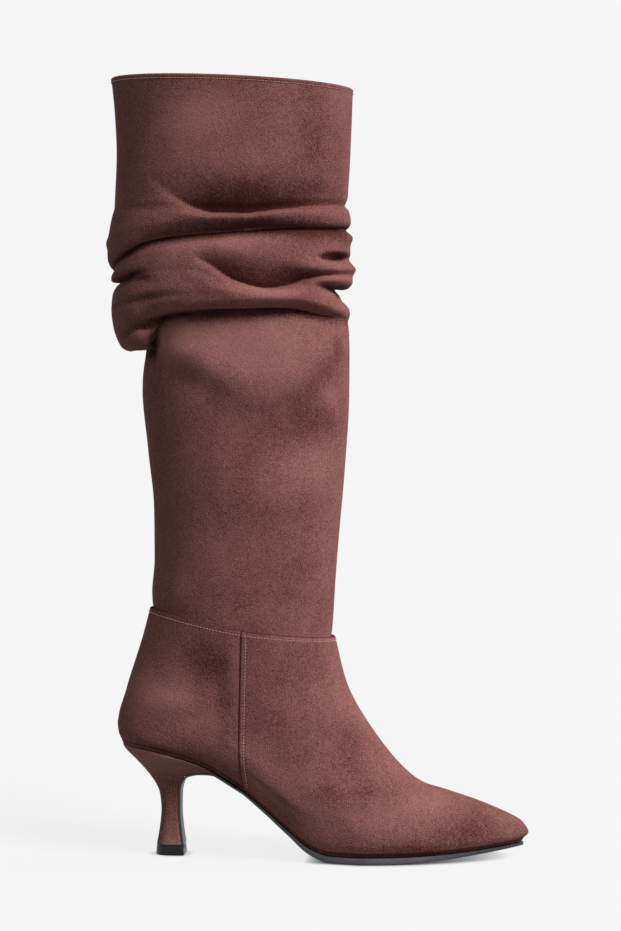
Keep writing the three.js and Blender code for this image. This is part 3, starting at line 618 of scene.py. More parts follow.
# The leg
# A wide tube of the same soft suede, lined, that is tucked into the foot part's top edge and stitched there.
# It is too long for the calf and slouches: two hanging rolls, a pinched waist between them and a tuck above.
LEG_HEIGHT = 322
COLLAR_DEPTH = 147.2
COLLAR_WIDTH = 92
COLLAR_PITCH = 6
COLLAR_DIP = 1.4
COLLAR_SET_BACK = 23.8
LEG_WALL = 1.5
COLLAR_HEM = 0.8
HEM_FROM = 0.96
LINING_SLACK = 3.5
SLACK_AT = 0.64
SLACK_REACH = 0.17
LEG_TUCK = 10
TUCK_GAP = UPPER_WALL + CLEARANCE
COLLAR_BACK_X = along(ANKLE_LEVEL["back"]) - COLLAR_SET_BACK
TUCK_LEVEL = 1 - LEG_TUCK / (COUNTER_HEIGHT * 1.25)
PITCH_FADE = 0.2
COLUMN_FADE = 0.3
PLAIN_BELOW = 0.38
PLAIN_ABOVE = 0.9
DIP_FROM = 0.85
ANKLE_PINCH = 0.5
ANKLE_PINCH_REACH = 1.6
LEG_LEVELS = columns(
    "level back front side",
    (0, 0, 0, 0),
    (0.03, 0.02, 0.08, 0.05),
    (0.09, -0.04, 0.19, 0.12),
    (0.18, -0.03, 0.38, 0.2),
    (0.29, 0.11, 0.62, 0.4),
    (0.42, 0.25, 0.84, 0.62),
    (0.5, 0.24, 0.86, 0.7),
    (0.508, 0.48, 0.86, 0.75),
    (0.522, 0.74, 0.85, 0.82),
    (0.545, 0.91, 0.85, 0.88),
    (0.57, 0.965, 0.84, 0.9),
    (0.68, 0.96, 0.86, 0.93),
    (0.76, 0.93, 0.76, 0.94),
    (0.86, 0.87, 0.87, 0.95),
    (0.94, 0.92, 0.95, 0.98),
    (1, 1, 1, 1),
)

# The creases that run around the leg, each under a roll of suede. A row gives the crease at a bearing in
# degrees from the back by the outer side: its height above the ankle seam, its depth, how far the roll
# stands out and how far it hangs, in millimetres. The lowest also says how far the overhang leans back.
CREASE_COLUMNS = "bearing height depth roll hangs"
CREASES = [
    {
        "level": 0.5, "size": 0.1,
        "at": columns(
            CREASE_COLUMNS + " leans",
            (0, 152, 2, 1.2, 5, 0),
            (24, 152.3, 5, 2, 6, 0),
            (31, 153, 7, 2.5, 6, 3),
            (35.5, 155.5, 8, 3, 5.5, 10),
            (39, 161, 8, 3, 5, 16),
            (43, 168.4, 6, 2.4, 4, 13),
            (49, 174, 3.4, 1.6, 2.6, 6),
            (58, 176.8, 3, 1.4, 2.2, 2),
            (74, 178.6, 3.4, 1.6, 3, 0),
            (95, 180.4, 4, 1.8, 4, 0),
            (122, 182.6, 4, 1.6, 3.6, 0),
            (146, 180, 3, 1.2, 2.4, 0),
            (180, 179, 1.2, 0.4, 0.5, 0),
            (225, 182, 5, 2, 2, 0),
            (270, 182, 6, 3, 3, 0),
            (315, 165, 5, 2.5, 3, 0),
        ),
    },
    {
        "level": 0.61, "size": 0.06,
        "at": columns(
            CREASE_COLUMNS,
            (0, 197, 6, 1, 1),
            (14, 198.6, 8, 1.2, 2),
            (30, 200.4, 8, 1.5, 2),
            (40, 202.4, 3, 0.6, 0.5),
            (50, 204, 0.4, 0, 0),
            (90, 205, 0.2, 0, 0),
            (130, 201, 0.5, 0, 0),
            (150, 198.4, 4, 1, 0.5),
            (163, 197.2, 8.5, 1.2, 2),
            (182, 197.2, 9, 1.4, 2.4),
            (205, 198.6, 6, 0.8, 1),
            (235, 202, 1.5, 0.5, 0),
            (270, 206, 2.5, 0.5, 0),
            (320, 203, 1, 0.3, 0),
        ),
    },
    {
        "level": 0.7, "size": 0.06,
        "at": columns(
            CREASE_COLUMNS,
            (0, 204.5, 0.4, 4, 0.5),
            (16, 209, 2, 3.2, 1.5),
            (33, 215, 4.5, 2.8, 3),
            (50, 221, 4.5, 2.6, 3.4),
            (77, 225.5, 4.5, 2.2, 3.4),
            (106, 229.2, 4.5, 2.2, 3.4),
            (130, 232, 4, 2.2, 3),
            (155, 233.2, 3.5, 2, 2.4),
            (180, 235, 3, 1.4, 1.5),
            (225, 229.3, 4.5, 2, 2),
            (270, 230.9, 5.5, 2.5, 2.5),
            (320, 224.5, 4, 2.5, 1.5),
        ),
    },
    {
        "level": 0.765, "size": 0.05,
        "at": columns(
            CREASE_COLUMNS,
            (0, 240, 0, 0, 0),
            (50, 241, 0.6, 0, 0),
            (72, 243, 0.8, 0, 0),
            (98, 243, 1, 0, 0),
            (125, 246.5, 1, 0, 0),
            (155, 249.5, 1, 0, 0),
            (180, 250.5, 0.8, 0, 0),
            (225, 244.7, 3.5, -1, 1),
            (270, 242.1, 3.5, -1, 0.5),
            (315, 240.9, 0.6, 0, 0),
        ),
    },
]
CREASE_SECTION = columns(
    "over deep out up",
    (-0.9, 0, 0, 0),
    (-0.45, 0.08, 0, 0),
    (-0.2, 0.34, 0, 0.1),
    (-0.07, 0.74, 0, 0.5),
    (0, 1, 0, 1),
    (0.07, 0.86, 0.1, 0.55),
    (0.14, 0.5, 0.3, -0.15),
    (0.22, 0.16, 0.6, -0.35),
    (0.34, 0, 0.92, -0.1),
    (0.55, 0, 1, 0),
    (0.8, 0, 0.7, 0),
    (1.2, 0, 0, 0),
)


def fold_line(*rows):
    """A table of the line that one fold follows around the leg."""
    return columns("bearing height deep over under", *rows)


# Softer troughs and ridges, with the same bearings and heights. `deep` is negative for a ridge; `over` and
# `under` say how many millimetres it takes to die out above and below its line.
SOFT_FOLDS = [
    fold_line(
        (70, 206, 0, 5, 6),
        (84, 196.5, -1.2, 4, 6),
        (97, 192, -1.8, 3.5, 6),
        (113, 190.5, -2, 3.5, 6),
        (126, 193, -2, 3.5, 5),
        (142, 202.5, -2, 2.5, 4),
        (166, 204.5, -1.6, 2.2, 3),
        (186, 204, 0, 2.2, 3),
    ),
    fold_line(
        (112, 213, 0, 4, 4),
        (124, 210.5, -1.2, 4, 3.5),
        (138, 209, -2.4, 3.5, 2.6),
        (150, 209.4, -2.4, 3, 2.6),
        (176, 211.6, -2.6, 2.6, 3.4),
        (196, 211, 0, 3, 3),
    ),
    fold_line(
        (139, 216.4, 0, 1.5, 1.5),
        (147, 216.4, 6, 2.4, 1.5),
        (163, 216.6, 8, 2.6, 1.5),
        (176, 217.4, 2.6, 2.2, 1.6),
        (194, 218, 0, 2, 1.8),
    ),
    fold_line(
        (14, 182.5, 0, 2, 2),
        (25, 184, 1.5, 2.2, 2),
        (42, 186.6, 1.8, 2.4, 2),
        (58, 189.4, 1, 2.4, 2),
        (74, 191, 0, 2.4, 2),
    ),
    fold_line(
        (76, 128, 0, 14, 8),
        (90, 130, -1.8, 15, 7),
        (103, 132, -3, 16, 7),
        (118, 138, -3.4, 16, 7),
        (131, 147, -3.2, 14, 6),
        (145, 158, -2.8, 11, 5),
        (157, 170, -2, 8, 5),
        (170, 182, 0, 8, 5),
    ),
    fold_line(
        (76, 86, 0, 28, 22),
        (94, 96, 2.6, 30, 22),
        (112, 104, 4, 32, 22),
        (136, 108, 3, 30, 22),
        (166, 110, 0, 28, 22),
    ),
    fold_line(
        (116, 139, 0, 6, 8),
        (127, 137, -1.3, 7, 12),
        (140, 133, -1.9, 7, 13),
        (151, 124, -1.5, 9, 12),
        (163, 110, 0, 9, 12),
    ),
    fold_line(
        (74, 60, 0, 14, 14),
        (100, 66, -1.6, 15, 14),
        (124, 74, -2, 15, 14),
        (150, 84, 0, 14, 14),
    ),
    fold_line(
        (26, 150, 0, 14, 8),
        (42, 153, -1.2, 14, 8),
        (57, 152, -2.8, 14, 7),
        (70, 147, -3.6, 16, 7),
        (84, 141, -2.8, 16, 7),
        (100, 137, 0, 14, 7),
    ),
    fold_line(
        (40, 146, 0, 8, 8),
        (58, 141, 1.5, 8, 8),
        (76, 138, 1.2, 8, 8),
        (94, 137, 0, 8, 8),
    ),
    fold_line(
        (156, 193.6, 0, 2, 5),
        (170, 194.4, 4.5, 2, 5),
        (188, 194.4, 4.5, 2, 5),
        (204, 194, 0, 2, 5),
    ),
    fold_line(
        (158, 230.6, 0, 3, 4),
        (170, 231.4, -3.4, 3, 4),
        (190, 231.4, -3.4, 3, 4),
        (208, 230, 0, 3, 4),
    ),
    fold_line(
        (344, 226, 0, 4, 4),
        (352, 224, -1, 4, 4),
        (10, 221, -1.6, 4, 4),
        (30, 226, -1, 5, 5),
        (48, 232, 0, 5, 5),
    ),
]

# Hollows whose two slopes meet in a sharp line: one is long and gentle, the other short.
SHARP_FOLDS = [
    fold_line(
        (8, 162, 0, 8, 4),
        (20, 164, 1.5, 9, 4),
        (32, 168, 4, 8, 3.5),
        (41, 173, 5, 7, 3.5),
        (50, 177.4, 3.5, 6, 3.5),
        (60, 180.2, 1.8, 5, 3.5),
        (70, 181.6, 0, 5, 3.5),
    ),
    fold_line(
        (48, 262, 0, 10, 8),
        (58, 254, 1, 12, 10),
        (66, 247.6, 3, 18, 8),
        (74, 243, 6.5, 24, 6),
        (84, 240.4, 10, 28, 4),
        (98, 240.6, 10, 29, 3.5),
        (116, 243.6, 8.5, 26, 3.2),
        (137, 246.9, 5.5, 20, 3),
        (158, 248.6, 3, 14, 3),
        (178, 249.5, 1.8, 9, 3),
        (200, 250, 0, 9, 3),
    ),
    fold_line(
        (40, 222, 0, 7, 10),
        (56, 226, 3, 9, 12),
        (70, 228, 5.5, 12, 15),
        (84, 230, 7, 12, 15.5),
        (97, 231.6, 7, 12, 16),
        (118, 234.2, 4.5, 11, 15),
        (140, 235.4, 2.6, 8, 11),
        (170, 234.6, 2, 6, 8),
        (196, 233, 0, 6, 8),
    ),
    fold_line(
        (74, 214, 0, 9, 6),
        (84, 208.6, 4, 13, 5),
        (94, 201, 8, 18, 4),
        (111, 196.8, 9.5, 21, 3.4),
        (122, 198.8, 9, 20, 3.2),
        (134, 203.5, 7, 12, 3),
        (148, 206.4, 4, 7, 2.4),
        (163, 207.6, 1.6, 5, 2.2),
        (180, 208, 0, 5, 2.2),
    ),
    fold_line(
        (38, 158, 0, 4, 18),
        (45, 168, 1.5, 4, 24),
        (53, 176, 2.5, 4, 30),
        (68, 181, 4.5, 4, 36),
        (95, 184.5, 6, 5, 42),
        (125, 186.5, 6, 5, 44),
        (150, 184, 3.5, 4, 36),
        (176, 181, 0, 4, 30),
    ),
]


def around(table, name, bearing):
    """A crease's value at a bearing, by smooth_through around the whole turn."""
    knots = table["bearing"]
    ring = np.concatenate([knots[-2:] - 360, knots, knots[:2] + 360])
    values = table[name]
    return smooth_through(ring, np.concatenate([values[-2:], values, values[:2]]), bearing)


def cusp(t):
    """A hump of height 1 around 0 with a sharp top: the square of 1 less t, held at 0 past 1."""
    return np.clip(1 - np.abs(t), 0, 1) ** 2


def soft_fold(table, bearing, height, profile):
    """How deep a fold is at a bearing and height: its depth there, times a profile above and below it."""
    knots = np.unwrap(table["bearing"], period=360)
    bearing = np.where(bearing > knots[-1], bearing - 360, bearing)
    row = {name: smooth_through(knots, table[name], bearing) for name in table if name != "bearing"}
    off = height - row["height"]
    within = (bearing >= knots[0]) & (bearing <= knots[-1])
    return within * row["deep"] * profile(off / np.where(off > 0, row["over"], row["under"]))


def leg_bearing(turn, level):
    """Where a turn lies on the leg: its share of the level's length, its share of the half-width, and its
    bearing. The columns pass from the ankle's spacing to an even one."""
    at_ankle = share_of_turn(turn, seam_share(ANKLE_LEVEL, 1.0))
    even = (1 - np.cos(np.pi * column_of(turn) / TOE_COLUMN)) / 2
    share = lerp(at_ankle, even, ease(level / COLUMN_FADE))
    across = side_of(turn) * end_taper(share, ANKLE_LEVEL)
    return share, across, np.degrees(np.arctan2(-across, 1 - 2 * share)) % 360


def leg_rise(bearing, level):
    """Share of the leg's height at a level, by smooth_through between the creases, and the creases' rows."""
    folds = [{name: around(crease["at"], name, bearing) for name in crease["at"]} for crease in CREASES]
    heights = [0, PLAIN_BELOW, *(fold["height"] / LEG_HEIGHT for fold in folds), PLAIN_ABOVE, 1]
    knots = [0, PLAIN_BELOW, *(crease["level"] for crease in CREASES), PLAIN_ABOVE, 1]
    return smooth_through(knots, heights, level), folds


def leg_surface(turn, level, inset=0.0):
    """The leg's outer face, or one drawn in by `inset`: at each level an oval between the back, the front and
    the two sides. Levels follow the creases; each crease draws the face in, pushes the roll over it out and
    lets it hang. The soft and sharp folds and a pinch at the ankle seam then move the face in or out."""
    turn, level = np.broadcast_arrays(turn, level)
    row = read(LEG_LEVELS, "level", level)
    back_x = lerp(along(ANKLE_LEVEL["back"]) + TUCK_GAP, COLLAR_BACK_X, row["back"])
    front_x = lerp(along(ANKLE_LEVEL["front"]) - TUCK_GAP, COLLAR_BACK_X + COLLAR_DEPTH, row["front"])
    half = lerp(ANKLE_LEVEL["heel"] * BALL_WIDTH / 2 - TUCK_GAP, COLLAR_WIDTH / 2, row["side"])
    share, across, bearing = leg_bearing(turn, level)
    up, folds = leg_rise(bearing, level)
    pitch = lerp(COLLAR_PITCH, ANKLE_PITCH, np.clip(1 - up / PITCH_FADE, 0, 1) ** 2)
    dip = COLLAR_DIP * ease((up - DIP_FROM) / (1 - DIP_FROM))
    z = ANKLE_BACK_Z + up * LEG_HEIGHT - (pitch + dip) * share
    x = lerp(back_x, front_x, share)
    out = np.zeros(level.shape) - inset
    for crease, fold in zip(CREASES, folds):
        section = read(CREASE_SECTION, "over", (level - crease["level"]) / crease["size"])
        out = out + fold["roll"] * section["out"] - fold["depth"] * section["deep"]
        z = z + fold["hangs"] * section["up"]
        x = x - fold.get("leans", 0) * section["up"]
    for tables, profile in [(SOFT_FOLDS, bell), (SHARP_FOLDS, cusp)]:
        for table in tables:
            out = out - soft_fold(table, bearing, up * LEG_HEIGHT, profile)
    out = out - ANKLE_PINCH * bell(up * LEG_HEIGHT / ANKLE_PINCH_REACH)
    away = points((2 * share - 1) / (front_x - back_x), across / (2 * half), 0)
    away = away / np.linalg.norm(away, axis=-1, keepdims=True)
    return points(x, half * across, z) + out[..., None] * away


HEM_ROLL = 0.3
HEM_DENT = 0.3
HEM_ROUND = 0.4
HEM_DEPTH = 8


def leg_skin(turn, level):
    """The leg's finished outer face: the same, with the folded edge's swell and stitch line at the collar."""
    down = (1 - level) * LEG_HEIGHT
    hem = HEM_ROLL * bell((down - 1.3) / 0.9) - HEM_DENT * bell((down - STITCH_IN) / STITCH_DENT)
    hem = hem - HEM_ROUND * np.clip(1 - down / 0.6, 0, 1) ** 2
    hem = np.where(down < HEM_DEPTH, hem, 0)
    turn, hem = np.broadcast_arrays(turn, hem)
    place = leg_surface(turn, level)
    middle = (place.max(axis=-2, keepdims=True) + place.min(axis=-2, keepdims=True)) / 2
    away = (place - middle) * [1, 1, 0]
    return place + hem[..., None] * away / np.linalg.norm(away, axis=-1, keepdims=True)


def offset(surface, turn, level, distance):
    """A surface moved along its normal, outwards where the distance is positive."""
    return surface(turn, level) + distance * outward(surface, turn, level)


def cusp_above(table, bearing, height):
    """Depth of a sharp fold on its upper slope only."""
    knots = table["bearing"]
    line = smooth_through(knots, table["height"], bearing)
    return np.where(height > line, soft_fold(table, bearing, height, cusp), 0)


# The first four sharp folds also get painted shade on their upper slope, deeper as the fold is deeper; the
# last is shaped by the light alone.
SHADED_FOLDS = 4
SHADE_PER_DEPTH = 0.075
# Painted shade along each crease line, full where the crease is 4 millimetres deep or more.
CREASE_SHADE = 0.85
CREASE_SHADE_LEVELS = 0.009
CREASE_SHADE_DEPTH = 4
LEG_COLUMNS = 290
leg_turns = np.linspace(0, WHOLE_TURN, LEG_COLUMNS, endpoint=False)[None, :]
collar_levels = 1 - np.array([
    0.03, 0.024, 0.018, 0.014, 0.0115, 0.0095, 0.008, 0.0065, 0.005, 0.0035, 0.002, 0.001, 0,
])
leg_levels = np.concatenate([
    np.linspace(0, 0.45, 44, endpoint=False),
    np.linspace(0.45, 0.83, 176, endpoint=False),
    np.linspace(0.83, 0.965, 28, endpoint=False),
    collar_levels,
])[:, None]
lining_levels = np.concatenate([
    [1, 0.99, 0.975, 0.965, 0.955, 0.93, 0.895, 0.86],
    np.linspace(0.83, 0.46, 46),
    np.linspace(0.445, 0.03, 22),
    [0],
])[:, None]
tuck_levels = np.array([TUCK_LEVEL, (1 + TUCK_LEVEL) / 2])[:, None]
tuck_outer = offset(foot_surface, leg_turns, tuck_levels, -TUCK_GAP)
tuck_inner = offset(foot_surface, leg_turns, tuck_levels[::-1], -TUCK_GAP - LEG_WALL)
leg_outer = leg_skin(leg_turns, leg_levels)
leg_wall = LEG_WALL + COLLAR_HEM * (lining_levels > HEM_FROM)
leg_wall = leg_wall + LINING_SLACK * bell((lining_levels - SLACK_AT) / SLACK_REACH)
leg_inner = leg_surface(leg_turns, lining_levels, leg_wall)
leg_grid = np.concatenate([tuck_outer, leg_outer, leg_inner, tuck_inner])
leg = skin("leg", leg_grid, (len(tuck_outer) + len(leg_outer), None))
# Soft ovals on the leg's suede: nap tone mixed with painted light and shade. They are lighter on the crowns
# under the rolls, and darker in the hollows and along the crease lines.
LEG_NAP_AND_PAINTED_LIGHT = columns(
    "x z long tall tone",
    (0, 446, 5, 2.5, -0.2),
    (66, 466, 14, 2.5, -0.22),
    (91, 430, 13, 44, -0.26),
    (22, 444, 22, 16, 0.52),
    (93, 396, 12, 5, 0.35),
    (40, 421, 26, 9, 0.1),
    (4, 398, 14, 12, 0.1),
    (62, 374, 24, 5, 0.05),
    (38, 369, 20, 6, 0.3),
    (88, 374, 16, 5, -0.4),
    (10, 362, 16, 9, 0.26),
    (62, 340, 30, 5, 0.25),
    (46, 309, 38, 16, 0.4),
    (6, 316, 12, 13, 0.7),
    (28, 291, 10, 7, 0.3),
    (58, 296, 16, 6, 0.2),
    (60, 380, 20, 3.5, -0.6),
    (50, 401, 26, 9, -0.3),
    (88, 272, 13, 11, -0.2),
    (103, 308, 3, 8, -0.3),
    (98, 292, 6, 9, -0.26),
    (89, 285, 5, 6, -0.2),
    (72, 284, 10, 7, 0.12),
    (80, 261, 20, 8, -0.2),
    (99, 281, 4, 5, 0.2),
    (46, 228, 12, 24, -0.14),
    (60, 211, 14, 8, -0.14),
    (80, 240, 16, 9, 0.14),
    (96, 280, 8, 10, 0.12),
    (78, 178, 16, 6, -0.1),
    (76, 158, 26, 14, -0.14),
)
# Small pockets of shade between the crimps of the outer side.
LEG_POCKETS = columns(
    "x z long tall tone",
    (-7, 311, 2.6, 6, -1.8),
    (-13, 316.5, 4, 2, 0.4),
    (-12, 320.6, 4, 1.3, -1.3),
    (-6, 323.6, 4, 1.3, -1.4),
    (1, 325.8, 5, 1.3, -1.4),
    (10, 327.6, 6, 1.2, -1),
    (-17, 334.5, 8, 2, -0.25),
    (-7, 338.5, 8, 2, -0.3),
    (105, 363.4, 6, 1.7, -1.9),
    (106, 341, 3, 3.4, -1.8),
    (-14, 350, 7, 2.4, -0.9),
)
leg_nap_and_painted_light = side_fields(leg_grid, LEG_NAP_AND_PAINTED_LIGHT, "tone") + side_fields(leg_grid, LEG_POCKETS, "tone", 0)
outer_bearing = leg_bearing(*np.broadcast_arrays(leg_turns, leg_levels))[-1]
outer_rise, outer_creases = leg_rise(outer_bearing, np.broadcast_to(leg_levels, outer_bearing.shape))
outer_nap_and_painted_light = leg_nap_and_painted_light[len(tuck_outer):len(tuck_outer) + len(leg_outer)]
# Painted shade on the upper slope of the first sharp folds.
for table in SHARP_FOLDS[:SHADED_FOLDS]:
    outer_nap_and_painted_light -= SHADE_PER_DEPTH * cusp_above(table, outer_bearing, outer_rise * LEG_HEIGHT)
# Painted shade in the line of each crease, under its roll.
for crease, row in zip(CREASES, outer_creases):
    hidden = bell((leg_levels - crease["level"]) / CREASE_SHADE_LEVELS)
    outer_nap_and_painted_light -= CREASE_SHADE * hidden * np.clip(row["depth"] / CREASE_SHADE_DEPTH, 0, 1)
paint(leg, "nap_and_painted_light", leg_nap_and_painted_light)
dress(leg, "suede", ["shaft"], suede("leg_suede", SUEDE_DARK, SUEDE_LIGHT), lining("leg_lining"))


# The insole
# A fibre board covered with a thin brown sock, which lies on the turned-in leather under the foot.
INSOLE_BOARD = 2
INSOLE_INSET = FEATHER_INSET + UPPER_WALL + 2 * BEND_CLEARANCE
BOARD_EASE = 0.4
PAD_GAP = 1.2
END_TRIM = 0.35
SHARP_FROM = 40


def strip(name, rings):
    """A closed body from rings of points, its two ends closed by strips between a ring's two halves. It is
    turned the right way out if the volume that its walls enclose comes out negative."""
    rows, count = rings.shape[:2]
    index = np.arange(rows * count).reshape(rows, count)
    beside = np.roll(index, -1, 1)
    walls = np.stack([index[:-1], beside[:-1], beside[1:], index[1:]], -1).reshape(-1, 4)
    k = np.arange(count // 2 - 1)
    cap = np.stack([k, k + 1, count - 2 - k, count - 1 - k], -1)
    faces = np.concatenate([walls, cap[:, ::-1], cap + (rows - 1) * count])
    piece = mesh_of(name, rings.reshape(-1, 3), faces)
    volume = (rings[:-1] * np.cross(np.roll(rings, -1, 1)[:-1], rings[1:])).sum()
    if volume < 0:
        piece.data.flip_normals()
    piece.data.set_sharp_from_angle(angle=np.radians(SHARP_FROM))
    return piece


def insole_rings():
    """Sections along the foot: a board with eased edges, and under it a pad that fills the space inside the
    turned-in leather."""
    column = np.linspace(END_TRIM, TOE_COLUMN - END_TRIM, 90)
    low = UPPER_WALL + BEND_CLEARANCE

    def line(edge, turn, height):
        place = edge(turn)
        place[..., 2] = bottom_z(place[..., 0]) + height
        return place

    def board(inset):
        return lambda turn: bottom_edge(turn, inset)

    def pad(turn):
        return margin_edge(turn, PAD_GAP)

    half = [
        (pad, 0),
        (pad, low),
        (board(INSOLE_INSET), low),
        (board(INSOLE_INSET), low + INSOLE_BOARD - BOARD_EASE),
        (board(INSOLE_INSET + BOARD_EASE), low + INSOLE_BOARD),
    ]
    outer = [line(edge, column, height) for edge, height in half]
    inner = [line(edge, WHOLE_TURN - column, height) for edge, height in half]
    return np.stack(outer + inner[::-1], 1)


def sock_cover():
    """Brown sock with a fine pebble and broad paler patches."""
    finish = Finish("sock")
    pebble = finish.grain(1.1, detail=3.0)
    patches = finish.grain(26)
    colour = finish.blend(patches * 0.3 + pebble * 0.3 + 0.5, dye(62, 46, 40), dye(96, 74, 64))
    return finish.done(Base_Color=colour, Roughness=0.75, Normal=finish.bump(pebble, 0.1, 0.6))


dress(strip("insole", insole_rings()), "sock", ["insole"], sock_cover())


# The heel
# A slim block, waisted above its foot and flared up to the seat, wrapped in the boot's suede. Its flat breast
# faces forward and is covered by the sole's flap; it is nailed on through the insole.
TOP_PIECE_HEIGHT = 6.3
TOP_PIECE_LENGTH = 17.9
TOP_PIECE_WIDTH = 18.4
TOP_PIECE_INSET = 0.5
BREAST_FLAP = 1.2
HEEL_WAIST_BACK = 5.7
HEEL_WAIST_FRONT = 5.1
HEEL_WAIST_WIDTH = 15
HEEL_BASE = TOP_PIECE_HEIGHT + CLEARANCE
HEEL_ROUND = 0.5
FRONT_EASE = 0.06
HEEL_SECTIONS = columns(
    "section back_up front_up foot back front side",
    (0, 0, 0, 1, 0, 0, 0),
    (1, 0.09, 0.09, 0.62, 0, 0, 0),
    (2, 0.19, 0.19, 0.28, 0, 0, 0),
    (3, 0.34, 0.34, 0, 0, 0, 0.01),
    (4, 0.49, 0.5, 0, 0.035, 0.005, 0.04),
    (5, 0.59, 0.59, 0, 0.13, 0.04, 0.11),
    (6, 0.655, 0.652, 0, 0.24, 0.11, 0.18),
    (7, 0.72, 0.695, 0, 0.37, 0.22, 0.28),
    (8, 0.79, 0.722, 0, 0.53, 0.38, 0.42),
    (9, 0.86, 0.739, 0, 0.7, 0.58, 0.6),
    (10, 0.93, 0.744, 0, 0.87, 0.79, 0.8),
    (11, 1, 0.73, 0, 1, 1, 1),
)
SEAT_SECTION = 11
HEEL_SHARES = np.array(QUARTER_SHARES[:BREAST_COLUMN + 1]) / QUARTER_SHARES[BREAST_COLUMN]


def heel_half(half, share):
    """Half-width of a heel's section at a share of its length: a round back and eased front corners."""
    back = np.clip(share / HEEL_ROUND, 0, 1)
    corner = np.clip((1 - share) / FRONT_EASE, 0, 1)
    return half * np.sqrt(back * (2 - back)) * (0.9 + 0.1 * np.sqrt(corner))


def heel_point(section, column, side):
    """The heel's face: at each section a D between its back, its breast and its sides, which turns into the
    foot's own bottom edge as it nears the seat."""
    section, column = np.broadcast_arrays(section, column)
    row = read(HEEL_SECTIONS, "section", section)
    turn = column if side < 0 else WHOLE_TURN - column
    seat = bottom_edge(turn, FEATHER_INSET)
    seat[..., 2] -= BEND_CLEARANCE
    seat_back_x = along(BOTTOM_LEVEL["back"]) + FEATHER_INSET
    breast_x = bottom_edge(np.array(float(BREAST_COLUMN)), FEATHER_INSET)[0]

    def reach(foot_size, waist_size, seat_size, share):
        return lerp(lerp(waist_size, foot_size, row["foot"]), seat_size, share)

    foot_half = TOP_PIECE_LENGTH / 2
    back_x = reach(TOP_PIECE_INSET - foot_half, -HEEL_WAIST_BACK, seat_back_x, row["back"])
    front_x = reach(foot_half - BREAST_FLAP - TOP_PIECE_INSET, HEEL_WAIST_FRONT, breast_x, row["front"])
    seat_half = BOTTOM_LEVEL["heel"] * BALL_WIDTH / 2 - FEATHER_INSET
    half = reach(TOP_PIECE_WIDTH / 2 - TOP_PIECE_INSET, HEEL_WAIST_WIDTH / 2, seat_half, row["side"])
    share = np.interp(column, np.arange(BREAST_COLUMN + 1), HEEL_SHARES)
    high = HEEL_HEIGHT - BEND_CLEARANCE
    z = lerp(lerp(HEEL_BASE, high, row["back_up"]), lerp(HEEL_BASE, high, row["front_up"]), share)
    straight = lerp(HEEL_HEIGHT, bottom_z(breast_x), share) - BEND_CLEARANCE
    pull = row["front"] ** 2
    x = lerp(lerp(back_x, front_x, share), seat[..., 0], pull**4)
    y = lerp(side * heel_half(half, share), seat[..., 1], pull)
    return points(x, y, z + (seat[..., 2] - straight) * pull)


heel_sections = np.concatenate([np.linspace(0, 10.6, 96), [10.75, 10.88, 10.96, 11]])[:, None]
near_breast = BREAST_COLUMN - np.array([0.13, 0.07, 0.03, 0])
heel_columns = np.concatenate([[0.06], np.linspace(0.2, BREAST_COLUMN - 0.2, 34), near_breast])
heel_outer = heel_point(heel_sections, heel_columns[None, ::-1], -1)
heel_inner = heel_point(heel_sections, heel_columns[None, :], 1)
heel_rings = np.concatenate([heel_outer, heel_inner], 1)
heel = strip("heel", heel_rings)
# The heel's suede is the boot's suede made paler, as painted light against the shadow that the foot casts
# over the heel. Its ovals paint its top lighter still, with one darker patch lower down.
HEEL_DARK_BRIGHTENED = dye(102, 58, 54)
HEEL_LIGHT_BRIGHTENED = dye(194, 138, 128)
HEEL_NAP_AND_PAINTED_LIGHT = columns("x z long tall tone", (-10, 60, 22, 14, 0.3), (0, 30, 20, 18, -0.26))
paint(heel, "nap_and_painted_light", side_fields(heel_rings, HEEL_NAP_AND_PAINTED_LIGHT, "tone"))
dress(heel, "suede", ["heel"], suede("heel_suede_brightened", HEEL_DARK_BRIGHTENED, HEEL_LIGHT_BRIGHTENED))


# The outsole
# A thin black sheet sole, cemented under the foot and run on down the heel's breast to the top piece. Its
# edge is trimmed square, eased below and lightly buffed.
SOLE_WAIST = 1.5
SOLE_TOE = 1.6
SOLE_EDGE = 0.4
SOLE_LINE = columns(
    "at thick",
    (0.25, 1.4),
    (0.32, SOLE_WAIST),
    (0.42, 2),
    (0.535, SOLE_BALL),
    (0.67, SOLE_BALL),
    (0.82, (SOLE_BALL + SOLE_TOE) / 2),
    (1, SOLE_TOE),
)
SOLE_PROFILE = columns(
    "down inside",
    (0, 0), (0.35, 0), (0.7, 0.001), (0.86, 0.008), (0.96, 0.018), (1, 0.034), (1, 0.2),
)
EDGE_INSIDE = 0.1


